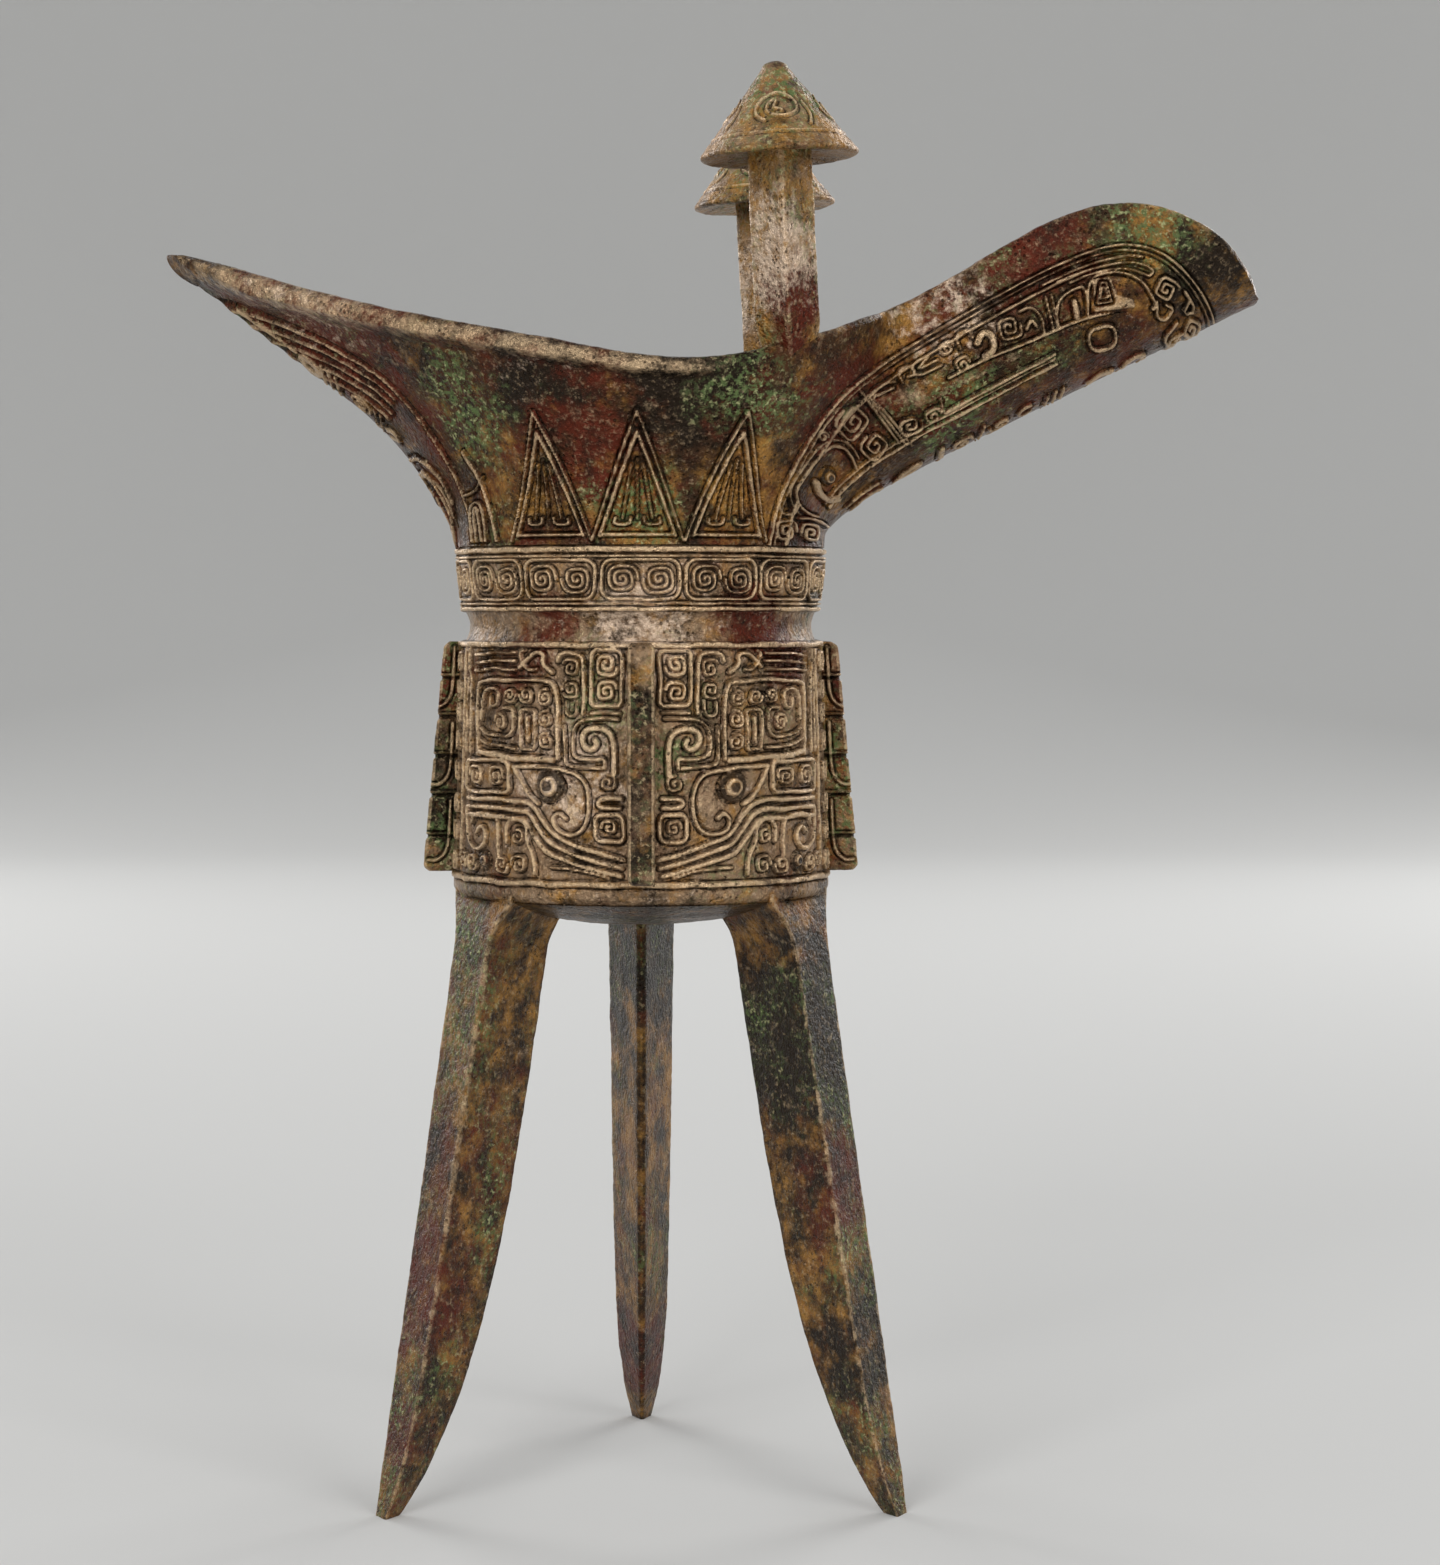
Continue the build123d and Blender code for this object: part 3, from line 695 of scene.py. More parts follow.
def shifted(path, offset):
    """The path moved sideways by an offset, for lines that run side by side."""
    path = np.asarray(path, float)
    along = np.gradient(path, axis=0)
    along /= np.linalg.norm(along, axis=1, keepdims=True)
    return path + offset * np.column_stack([-along[:, 1], along[:, 0]])


def skin_normals(points):
    """Outward normals of a skin given as rows and columns of points."""
    across = np.gradient(points, axis=1)
    up = np.gradient(points, axis=0)
    normals = np.cross(across, up)
    return normals / np.maximum(np.linalg.norm(normals, axis=2, keepdims=True), LEAST_DIVISOR)


def lumps(points, size):
    """A smooth random swell over space, between about -1 and 1, with swells of about the given size."""
    chance = np.random.default_rng(LUMP_SEED)
    total = np.zeros(points.shape[:-1])
    for _ in range(LUMP_WAVES):
        direction = chance.normal(size=3)
        wave = direction / np.linalg.norm(direction) * 2 * math.pi / (size * chance.uniform(*LUMP_SPREAD))
        total += np.sin(points @ wave + chance.uniform(0.0, 2 * math.pi))
    return total / LUMP_CALM


def hand_drawn(across, up):
    """Places shifted slightly and unevenly, as where lines are cut by hand."""
    flat = np.stack([across, up, np.zeros_like(across)], axis=-1)
    return HAND_SHAKE * lumps(flat, SHAKE_SIZE), HAND_SHAKE * lumps(flat + SHAKE_SHIFT, SHAKE_SIZE)


def lay_grid(name, points, relief):
    """A grid laid on rows and columns of points in millimetres, merged, closed and cast unevenly."""
    rows, columns = points.shape[:2]
    bpy.ops.object.select_all(action="DESELECT")
    bpy.ops.mesh.primitive_grid_add(x_subdivisions=columns - 1, y_subdivisions=rows - 1, size=1.0)
    piece = bpy.context.object
    piece.name = name
    piece.data.name = name
    piece.data.vertices.foreach_set("co", (points * MM).ravel())
    piece.data.attributes.new("relief", "FLOAT", "POINT").data.foreach_set("value", relief.ravel())
    bpy.ops.object.mode_set(mode="EDIT")
    bpy.ops.mesh.select_all(action="SELECT")
    bpy.ops.mesh.remove_doubles(threshold=MERGE_DISTANCE)
    bpy.ops.mesh.fill_holes(sides=0)
    bpy.ops.object.mode_set(mode="OBJECT")
    count = len(piece.data.vertices)
    places = np.empty(count * 3)
    piece.data.vertices.foreach_get("co", places)
    places = places.reshape(-1, 3)
    normals = np.empty(count * 3)
    piece.data.vertex_normals.foreach_get("vector", normals)
    swell = LUMP_HEIGHT * lumps(places / MM, LUMP_SIZE) + GRIT_HEIGHT * lumps(places / MM, GRIT_SIZE)
    places += normals.reshape(-1, 3) * (swell * MM)[:, None]
    piece.data.vertices.foreach_set("co", places.ravel())
    piece.data.update()
    bpy.ops.object.shade_smooth_by_angle(angle=math.radians(SMOOTH_ANGLE))
    return piece


def shell(name, outer, inner, relief, lip):
    """A wall from its outer skin, its inner skin and a rounded lip of the given height per column."""
    share = np.linspace(0.0, 1.0, LIP_ROWS)[1:-1, None, None]
    bulge = np.sqrt(np.sin(np.pi * share**LIP_LEAN)) * lip[None, :, None]
    over = outer[-1] * (1 - share) + inner[0] * share + bulge * np.array([0.0, 0.0, 1.0])
    points = np.concatenate([outer, over, inner, outer[:1]])
    # The lip's top is set bright: rubbed, and partly a painted highlight
    top = np.full(over.shape[:2], LIP_WEAR_AND_HIGHLIGHT)
    bare = np.full(inner.shape[:2], PLAIN)
    heights = np.concatenate([relief, top, bare, relief[:1]])
    return lay_grid(name, points, heights)


def mirrored(points, *fields):
    """The same skin on the other side of the cup's middle plane."""
    flipped = points[:, ::-1] * np.array([1.0, -1.0, 1.0])
    return (flipped, *[field[..., ::-1] for field in fields])


def finish_piece(piece, material, *nodes):
    """Gives a piece its patina and its place in the frame."""
    piece.data.materials.clear()
    piece.data.materials.append(material)
    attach(piece, "root")
    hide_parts(*nodes)


def draw_mask(relief):
    """Half of the animal mask beside a flange: across runs from the flange, up from the drum's lower edge."""
    line = relief.raise_line
    bend = relief.bend_line
    line([(-1, 2.9), (60, 2.9)], BROAD_LINE, 0.9)
    line([(-1, 35.7), (60, 35.7)], BROAD_LINE, 0.9)

    # Stacked spirals beside the flange, and a narrow pair next to them
    line(rounded_frame(2.6, 27.3, 7.0, 35.0, 0.9), LINE)
    line(curl((4.8, 33.0), 1.5, 1.7, 200, 1, 4.0), LINE)
    line(curl((4.8, 29.3), 1.5, 1.7, 160, -1, 4.0), LINE)
    bend([(8.0, 26.4), (8.0, 33.2), (8.7, 34.6), (11.6, 34.6), (12.0, 33.4)], LINE)
    line(curl((9.9, 32.5), 1.2, 1.5, 30, 1, 4.0), FINE_LINE)
    line(curl((9.9, 29.6), 1.2, 1.5, 330, -1, 4.0), FINE_LINE)
    bend([(9.0, 28.0), (9.0, 26.0), (10.7, 26.0), (10.7, 27.9)], FINE_LINE)
    bend([(3.0, 26.4), (6.8, 26.4)], FINE_LINE)

    # Small bird above the horn, and the lines that end its tail
    bend([(12.8, 31.9), (14.6, 33.2), (14.0, 34.4), (15.6, 34.8), (17.0, 33.8), (18.2, 32.6)], LINE)
    bend([(15.4, 32.4), (17.0, 32.2), (18.4, 34.4), (17.6, 34.9)], FINE_LINE)
    for height in (32.3, 33.4, 34.5):
        bend([(19.2, height), (24.6, height), (28.6, height - 0.3)], FINE_LINE)

    # Horn: a squared scroll filled with small spirals
    bend([(27.4, 20.4), (27.8, 29.4), (26.6, 30.8), (13.4, 31.0), (11.9, 29.6), (11.9, 20.2)], LINE)
    for place in ((13.9, 28.4), (13.7, 25.5), (13.6, 22.4)):
        line(curl(place, 1.15, 1.6, 100, -1, 3.0), FINE_LINE)
    line(curl((17.2, 28.7), 1.1, 1.6, 0, -1, 3.0), FINE_LINE)
    line(curl((20.1, 28.7), 1.1, 1.6, 180, 1, 3.0), FINE_LINE)
    bend([(26.4, 25.2), (26.2, 29.6), (22.4, 29.7), (22.6, 27.2), (24.4, 27.0), (24.4, 28.4)], FINE_LINE)
    bend([(26.6, 24.0), (25.0, 23.2), (19.4, 22.8), (19.0, 26.9), (21.4, 26.9)], FINE_LINE)
    line(curl((21.9, 25.0), 1.15, 1.6, 0, 1, 3.0), FINE_LINE)
    line(rounded_frame(15.5, 21.3, 18.0, 26.8, 0.5), FINE_LINE)
    line([(16.75, 22.3), (16.75, 25.8)], FINE_LINE)
    bend([(26.9, 22.6), (24.6, 21.7), (19.0, 21.4)], FINE_LINE)
    bend([(27.2, 20.9), (24.0, 20.3), (12.6, 19.9)], BROAD_LINE)

    # Nose scroll
    bend([(3.7, 18.2), (3.7, 22.8), (4.9, 24.3), (7.2, 24.5), (8.3, 23.3), (8.0, 21.7), (6.8, 21.2),
          (6.0, 22.0), (6.4, 22.7)], BROAD_LINE)
    bend([(5.0, 18.9), (5.0, 20.3), (6.2, 19.9), (9.4, 20.2), (9.8, 22.0), (9.4, 24.6), (7.6, 25.8),
          (3.2, 25.6)], FINE_LINE)
    bend([(5.4, 18.9), (10.2, 19.1), (10.9, 20.2), (10.9, 24.6)], FINE_LINE)

    # Eye in its almond socket, the cheek around it and the curl of the muzzle
    muzzle = [(11.0, 18.0), (8.9, 17.4), (8.1, 15.6), (7.9, 13.0), (8.7, 11.1), (10.4, 10.4), (11.6, 11.2),
              (10.9, 12.4), (10.2, 13.6), (10.6, 15.4)]
    relief.fill_area(muzzle, 0.66)
    bend([(19.0, 19.0), (14.0, 19.0), (9.6, 18.5), (7.6, 17.0), (7.0, 13.6), (7.7, 10.7), (9.8, 9.5),
          (12.0, 10.2), (12.5, 12.0), (11.4, 12.8), (10.5, 12.0)], LINE)
    bend([(18.9, 18.9), (16.7, 15.0), (14.8, 13.9)], LINE)
    relief.raise_boss((12.9, 16.3), 2.3, 1.9)

    # Spiral pair of the ear
    line(rounded_frame(19.9, 15.2, 30.6, 19.6, 1.0), LINE)
    line(curl((27.8, 17.4), 1.45, 1.7, 0, 1, 4.0, 0.16, 1.2), FINE_LINE)
    line(curl((22.7, 17.4), 1.45, 1.7, 180, -1, 4.0, 0.16, 1.2), FINE_LINE)

    # Jaw: broad bands that run side by side down to the flange
    jaw = rounded([(30.0, 14.2), (17.3, 14.3), (15.0, 13.2), (13.4, 10.6), (11.4, 8.9), (2.2, 6.4)])
    for offset in (0.0, 1.2, 2.4):
        line(shifted(jaw, offset), 0.66)
    bend([(12.6, 5.3), (8.0, 4.9), (4.4, 3.9)], FINE_LINE)
    bend([(15.2, 4.2), (15.2, 6.4), (16.9, 9.0), (16.6, 10.9), (18.3, 11.9), (20.2, 11.0),
          (20.2, 8.4)], LINE)
    line(curl((18.4, 9.2), 1.05, 1.2, 90, 1, 3.0, 0.16), FINE_LINE)
    bend([(30.2, 12.9), (30.0, 8.6), (27.6, 7.0), (25.0, 7.6), (24.6, 9.6), (26.2, 10.6),
          (27.4, 9.4)], LINE)
    bend([(21.9, 6.6), (21.9, 11.2), (23.0, 12.3), (28.0, 12.2), (28.7, 10.6)], FINE_LINE)

    # Squared spirals and a knob along the foot of the drum
    for place, begin in ((17.9, 0), (21.3, 180), (28.4, 180), (31.2, 0)):
        line(curl((place, 5.4), 1.3, 1.5, begin, 1, 4.0), FINE_LINE)
    relief.raise_boss((24.9, 5.6), 1.35, 1.3)

    # Scrolls beside the flange
    line(curl((4.6, 16.8), 1.2, 1.4, 90, 1, 3.5), FINE_LINE)
    bend([(2.7, 14.7), (5.8, 14.7), (5.8, 13.5), (2.8, 13.5)], LINE)
    line(rounded_frame(2.4, 8.8, 6.2, 12.6, 0.9), LINE)
    line(curl((4.3, 10.7), 1.05, 1.3, 0, 1, 4.0), FINE_LINE)

    # The narrow strip towards the side flange
    bend([(32.3, 7.0), (32.3, 35.0)], LINE)
    bend([(29.6, 20.6), (29.6, 31.0), (30.9, 32.4), (30.9, 35.0)], FINE_LINE)
    bend([(30.9, 20.6), (30.9, 31.0)], FINE_LINE)
    for step, height in enumerate((33.0, 29.4, 25.8, 22.2, 17.6, 13.4, 9.2, 5.4)):
        line(curl((35.9, height), 1.6, 1.8, 180 * (step % 2), 1, 4.0), FINE_LINE)


def draw_spiral_pair(relief, middle):
    """One framed pair of spirals on the neck band: across runs round the band, up from its lower edge."""
    line = relief.raise_line
    line(rounded_frame(middle - 5.35, 1.75, middle + 5.35, 7.15, 1.5), FINE_LINE)
    line(curl((middle - 2.55, 4.45), 2.0, 2.5, 0, 1, 3.0, 0.08, 1.1), THIN_LINE)
    line(curl((middle + 2.55, 4.45), 2.0, 2.5, 180, 1, 3.0, 0.08, 1.1), THIN_LINE)


def draw_blade(relief, middle, half, apex):
    """A standing blade above the neck band, with a smaller one and two feet inside it."""
    line = relief.raise_line
    for inset, drop, width in ((0.0, 0.0, 0.4), (1.15, 2.7, 0.52)):
        foot = 0.5 + inset * 0.6
        outline = [(middle - half + inset, foot), (middle, apex - drop), (middle + half - inset, foot)]
        line(outline, width, 0.95)
    line([(middle - half + 1.4, 1.3), (middle + half - 1.4, 1.3)], 0.46, 0.95)
    for side in (-1, 1):
        line([(middle + side * 0.75, apex - 7.0), (middle + side * 2.0, 3.5)], 0.34, 0.85)
        line(rounded([(middle + side * 0.9, 3.6), (middle + side * 1.0, 2.7), (middle + side * 3.2, 2.7),
                      (middle + side * 3.0, 3.5)], 1), 0.4, 0.95)
    line([(middle, apex - 6.4), (middle, 3.4)], 0.3, 0.8)


SPOUT_BORDER = ((17.6, 0.0), (18.6, 5.0), (20.5, 10.0), (25.7, 18.6), (32.0, 24.3), (42.6, 30.8),
                (55.0, 37.7), (63.0, 41.2), (67.6, 42.1), (72.2, 41.2), (76.8, 37.7), (81.4, 32.1))


def draw_spout_field(relief):
    """The creature along the spout's side: across is the distance along it, up the rise above the neck."""
    border = rounded(SPOUT_BORDER)
    field = np.vstack([border, [(86.0, 27.0), (86.0, -2.0), (17.6, -2.0)]])
    relief.fill_area(field, 0.4)
    line = relief.raise_line
    bend = relief.bend_line
    line(border, THIN_LINE)
    line(shifted(border, -0.7), 0.3, 0.85)
    line(shifted(border[:60], -2.3), HOOK_LINE)

    # Squared spirals above the neck band
    line(curl((19.9, 2.0), 1.6, 1.9, 0, 1, 4.0), FINE_LINE)
    line(curl((23.6, 1.8), 1.4, 1.7, 180, -1, 4.0), FINE_LINE)
    bend([(19.0, 5.6), (19.2, 4.4), (21.0, 4.2), (21.6, 5.4)], FINE_LINE)
    bend([(22.0, 3.8), (24.0, 3.9), (26.4, 3.0)], FINE_LINE)

    # Smooth leaning cheek with its eye and beak
    cheek = rounded([(30.1, 11.1), (29.4, 12.6), (28.2, 13.8), (26.2, 13.9), (24.6, 12.4), (22.5, 9.6),
                     (21.2, 7.6), (21.7, 5.6), (23.7, 4.2), (25.8, 4.2), (27.4, 6.6), (30.1, 11.1)])
    relief.fill_area(cheek, 0.5)
    line(cheek[: len(cheek) * 3 // 4], FINE_LINE)
    line(shifted(cheek[8 : len(cheek) * 2 // 3], -0.85), 0.34, 0.9)
    relief.raise_boss((26.1, 9.7), 1.25, 1.5)
    bend([(24.2, 8.8), (24.7, 7.4), (26.2, 6.5), (27.6, 7.0)], 0.9, 1.2)

    # Squared spirals set cornerwise behind the cheek, and the bars that close them
    line(curl((29.4, 17.2), 2.1, 2.3, 90, 1, 5.0, 0.12, 1.2, 48), FINE_LINE)
    line(curl((32.8, 14.1), 1.75, 2.0, 90, 1, 5.0, 0.12, 1.15, 48), FINE_LINE)
    for offset in (0.0, 0.85, 1.7):
        line([(30.6 + offset, 21.1 - 0.3 * offset), (36.2 + offset, 14.6 - 0.1 * offset)], 0.38)
    line(curl((25.0, 15.0), 0.7, 1.2, 0, 1, 3.0, 0.3), THIN_LINE)
    line(curl((37.7, 16.9), 1.3, 1.8, 0, -1, 4.0, 0.14, 1.35, 20), HOOK_LINE)
    line(curl((40.9, 18.2), 0.95, 1.6, 0, 1, 4.0, 0.16, 1.3, 25), HOOK_LINE)
    bend([(41.9, 20.6), (42.4, 18.4), (43.4, 19.2), (58.0, 26.9)], HOOK_LINE)

    # Double beaded line along the lower edge
    lower = rounded([(26.4, 5.6), (28.4, 8.2), (32.2, 11.4), (36.5, 14.0), (40.7, 16.5), (47.1, 19.7),
                     (53.0, 22.9), (58.4, 25.7)])
    line(lower, THIN_LINE)
    line(shifted(lower, 0.75), 0.3, 0.9)

    # Long smooth leaf
    leaf = rounded([(32.0, 20.2), (34.6, 18.8), (37.6, 18.6), (41.6, 20.6), (57.0, 28.2), (50.0, 27.2),
                    (43.0, 25.0), (38.0, 22.6), (32.0, 20.2)], 2)
    relief.fill_area(leaf, 0.6)

    # Hooks along the back, leaning with it
    bend([(35.4, 22.8), (34.0, 22.6), (31.8, 21.2), (32.6, 20.7), (35.2, 22.0)], HOOK_LINE)
    hook = rounded([(-1.0, -0.9), (-1.2, 0.9), (1.0, 0.9), (1.2, -0.8), (0.0, -0.5)])
    line(leaned(hook, (37.0, 24.0), 27), HOOK_LINE)
    hook = rounded([(1.9, -0.1), (-0.9, -0.1), (-0.9, 0.2), (1.6, 1.0), (-1.9, 1.0), (-1.9, -1.0),
                    (2.0, -1.0)])
    line(leaned(hook, (39.6, 25.1), 27), HOOK_LINE)
    line(curl((42.6, 27.4), 0.95, 1.6, 0, 1, 4.0, 0.16, 1.2, 27), HOOK_LINE)
    line(leaned(rounded([(-1.0, -1.0), (-1.0, 1.0), (1.2, 1.0), (1.2, -0.4)]), (45.0, 28.8), 27), HOOK_LINE)
    line(curl((44.9, 25.2), 1.1, 1.6, 0, 1, 4.0, 0.16, 1.0, 27), HOOK_LINE)
    bend([(46.9, 28.2), (47.6, 29.8), (49.0, 29.4), (49.4, 27.4), (48.0, 26.4)], 0.9, 1.15)
    line(curl((51.3, 30.4), 1.75, 2.0, 0, -1, 5.0, 0.14, 0.95, 18), HOOK_LINE)
    bend([(43.0, 23.4), (47.9, 26.0), (55.1, 28.8), (61.6, 31.8), (69.3, 33.4)], FINE_LINE)

    # Arches in front of the head
    bend([(52.8, 32.6), (54.4, 33.4), (56.0, 31.8), (56.3, 29.5)], FINE_LINE)
    bend([(53.8, 30.2), (54.4, 31.6), (55.2, 30.6)], STRIPE_LINE)
    for offset in (0.0, 0.8):
        line([(56.4 + offset, 34.6 + 0.4 * offset), (57.6 + offset, 30.0 + 0.4 * offset)], THIN_LINE)
    bend([(58.0, 30.6), (58.0, 34.2), (60.4, 35.8), (62.0, 36.2), (62.4, 32.2)], FINE_LINE)
    line([(60.4, 34.0), (60.9, 31.9)], 0.9, 1.1)

    # Head near the lip: a smooth dome under a crown of arcs, with a bright triangle set into it
    dome = rounded([(62.4, 32.4), (62.3, 37.2), (65.4, 38.2), (68.0, 37.9), (70.1, 36.8), (71.4, 35.0),
                    (72.4, 33.2), (69.6, 32.8), (62.4, 32.4)])
    relief.fill_area(dome, 0.5)
    line(dome[: len(dome) * 3 // 4], FINE_LINE)
    plate = [(62.8, 37.2), (65.3, 37.4), (66.5, 35.0), (68.8, 34.5), (69.1, 33.4), (63.4, 32.6), (62.8, 37.2)]
    relief.fill_area(plate, 0.85)
    facet = np.array([(-1.1, -1.9), (-0.5, 1.9), (0.5, 1.9), (1.6, -1.5), (-1.1, -1.9)])
    for share in (0.75, 0.4):
        line(leaned(facet * share, (64.5, 35.2), 0), HAIR_LINE)
    bend([(55.9, 36.2), (61.8, 39.0), (67.5, 40.5), (69.9, 40.2)], HAIR_LINE)
    bend([(58.0, 36.7), (62.0, 38.4), (67.5, 39.6), (70.1, 39.2), (71.7, 38.3), (70.9, 37.6)], HAIR_LINE)
    bend([(59.8, 36.6), (63.0, 38.0), (67.5, 38.8), (70.9, 37.6)], HAIR_LINE)
    line(curl((73.4, 35.8), 1.55, 1.9, 45, 1, 5.0, 0.14, 1.0, -30), HOOK_LINE)
    bend([(72.2, 34.2), (72.4, 32.0), (73.8, 31.8), (74.8, 33.4), (73.6, 33.8)], FINE_LINE)
    line(rounded([(76.2, 35.6), (78.2, 33.2), (76.2, 32.6), (77.0, 34.6)], 1), THIN_LINE)
    line(curl((78.0, 30.9), 1.2, 1.6, 0, 1, 5.0, 0.16, 1.0, -20), HOOK_LINE)
    line(rounded([(75.6, 31.6), (73.8, 29.4), (75.6, 28.6), (76.4, 30.2)], 1), FINE_LINE)
    line(curl((64.7, 29.2), 1.5, 1.0, 0, 1, 3.0, 1.0, 1.3, 15), FINE_LINE)


def draw_underside(relief):
    """Blocks, hooks and leaves under the spout and the tail: up is measured sideways from the keel."""
    line = relief.raise_line
    bend = relief.bend_line
    bend([(30.0, 2.2), (32.0, 3.4), (34.2, 3.0)], 0.6)
    bend([(29.0, 4.6), (31.0, 5.2), (33.6, 5.2)], HOOK_LINE)
    bend([(36.0, 3.0), (37.8, 4.4), (40.0, 4.4), (38.6, 3.2), (36.0, 3.0)], 0.7)
    line([(42.6, 2.6), (42.6, 5.2)], 0.9)
    line(curl((45.6, 3.9), 1.3, 1.5, 0, 1, 4.0, 0.16, 1.1), STRIPE_LINE)
    line([(48.0, 2.4), (48.6, 5.6)], STRIPE_LINE)
    line(curl((51.0, 4.0), 1.3, 1.4, 180, 1, 4.0, 0.16, 1.1), STRIPE_LINE)
    line(curl((54.6, 4.2), 1.2, 0.8, 60, 1, 2.0, 0.6), 0.6)
    for place in (57.4, 58.5, 59.6):
        line([(place, 2.6), (place + 0.3, 5.4)], STRIPE_LINE)
    bend([(63.8, 3.2), (65.2, 4.6), (66.6, 3.6)], 1.2)
    bend([(68.4, 3.0), (69.6, 4.6), (71.2, 4.4), (71.4, 2.6)], 0.9)
    line(curl((76.0, 3.6), 1.3, 1.4, 0, 1, 4.0), STRIPE_LINE)


def draw_tail_field(relief):
    """Lines along the tail: across is the distance behind the axis, up the rise."""
    line = relief.raise_line
    bend = relief.bend_line
    upper = rounded([(61.0, 37.6), (58.1, 36.1), (46.7, 30.6), (37.5, 25.0), (33.2, 21.4), (29.2, 16.6),
                     (25.6, 9.6), (23.6, 3.8)])
    line(upper, 0.2)
    for offset, start, end in ((0.85, 6, 36), (1.65, 10, 36), (2.45, 8, 37), (3.25, 14, 37)):
        line(shifted(upper, offset)[start:end], 0.2, 0.95)

    # Nested bars and small squared spirals beside the first blade
    for inset in (0.0, 0.65):
        bend([(23.4 - inset, 0.6), (23.8 - inset, 5.8 - inset), (21.9 + inset, 6.2 - inset),
              (21.4 + inset, 0.6)], HAIR_LINE)
    bend([(24.6, 7.0), (23.0, 7.4), (21.8, 9.4)], HAIR_LINE)
    bend([(19.8, 0.6), (20.6, 4.4), (22.0, 8.8), (24.6, 13.0)], THIN_LINE)


def draw_tail_underside(relief):
    """Lobes, a spiral and stripes under the tail: up is measured sideways from the keel."""
    line = relief.raise_line
    bend = relief.bend_line
    bend([(57.0, 2.2), (54.0, 2.8), (48.6, 3.4)], STRIPE_LINE)
    line(curl((46.6, 2.6), 1.3, 1.0, 0, 1, 2.0, 0.8), 1.1)
    for place in (42.6, 43.6, 44.6):
        line([(place, 1.2), (place + 0.4, 4.6)], STRIPE_LINE)
    line(curl((39.6, 3.4), 1.6, 2.2, 90, 1, 2.0, 0.1), FINE_LINE)
    for place in (36.4, 37.2):
        line([(place, 1.4), (place + 0.3, 5.0)], HOOK_LINE)
    bend([(35.2, 2.4), (33.8, 4.4), (34.8, 4.6), (35.8, 3.2)], 0.7)

    # Round cheek with its eye, and the arcs that pass over it
    bend([(32.6, 2.2), (31.4, 6.2), (28.4, 8.6), (26.4, 8.0)], HOOK_LINE)
    bend([(31.4, 1.4), (30.2, 5.0), (28.0, 7.2), (26.2, 6.6)], HOOK_LINE)
    line(curl((28.6, 3.2), 2.3, 1.0, 0, 1, 2.4, 1.0), HOOK_LINE)
    relief.raise_boss((28.6, 3.2), 1.2, 1.4)


def draw_whorls(relief, around):
    """Round whorls on a cap's cone over a fine line: across runs round the cone, up from the brim."""
    line = relief.raise_line
    bend = relief.bend_line
    line([(-1.0, 2.2), (around + 1.0, 2.2)], 0.3, 0.85)
    for step in range(CAP_WHORLS + 1):
        middle = around * step / CAP_WHORLS
        line(curl((middle, 6.8), 2.9, 1.3, 240, -1, 2.0, 0.45, 1.15), THIN_LINE)
        bend([(middle + 0.3, 6.0), (middle - 0.9, 6.6), (middle - 0.4, 7.7)], STRIPE_LINE)
        bend([(middle + 3.2, 3.6), (middle + 3.9, 5.4), (middle + 3.4, 7.6)], HAIR_LINE)


def cast_size(name, description, metres):
    """A length setting."""
    return bpy.props.FloatProperty(name=name, description=description, default=metres, unit="LENGTH")


class JueCasting(bpy.types.PropertyGroup):
    """Sizes of the cast surface that the solids leave plain"""

    belly_relief: cast_size("Belly relief", "Height of the mask over its ground", 0.00085)
    band_relief: cast_size("Band relief", "Height of the neck band's spirals", 0.00065)
    mouth_relief: cast_size("Mouth relief", "Height of the ornament on mouth, spout and tail", 0.0008)
    cap_relief: cast_size("Cap relief", "Height of the whorls on the caps", 0.0005)
    lip_height: cast_size("Lip height", "How far the rim is rounded over", 0.001)
    arris_radius: cast_size("Arris radius", "Softness of the edges of legs and posts", 0.0005)


def patina_colour(name, description, colour):
    """A colour setting."""
    return bpy.props.FloatVectorProperty(
        name=name, description=description, default=(*colour, 1.0), size=4, subtype="COLOR", min=0.0, max=1.0
    )


class JuePatina(bpy.types.PropertyGroup):
    """Colours of the aged bronze"""

    brown: patina_colour("Brown", "Dark bronze of the mouth and legs", (0.068, 0.031, 0.012))
    bronze: patina_colour("Bronze", "Lighter bronze of the drum and the neck", (0.32, 0.208, 0.122))
    # Dark: sheltered bronze in hollows and pits, and also the painted shade on the base's underside and under
    # the rim
    dark: patina_colour("Dark", "Darkest bronze, in shelter", (0.018, 0.011, 0.006))
    red: patina_colour("Red", "Red copper oxide", (0.1, 0.017, 0.007))
    green: patina_colour("Green", "Green corrosion", (0.1, 0.145, 0.047))
    verdigris: patina_colour("Verdigris", "Brightest green specks", (0.28, 0.36, 0.15))
    ochre: patina_colour("Ochre", "Earthy yellow-brown crust", (0.37, 0.185, 0.042))
    # Pale: mineral bloom in patches, and also the colour of painted highlight spots on the rim and drum
    pale: patina_colour("Pale", "Greyish mineral bloom", (0.66, 0.5, 0.37))
    # Colour of rubbed ridges and lips, and also of the painted highlights on lips, rim band and arrises and
    # of the painted glints
    wear_and_highlight: patina_colour("Worn", "Rubbed metal on ridges and lips", (0.74, 0.53, 0.32))
    floor: patina_colour("Floor", "Plain floor and backdrop", (0.62, 0.62, 0.61))


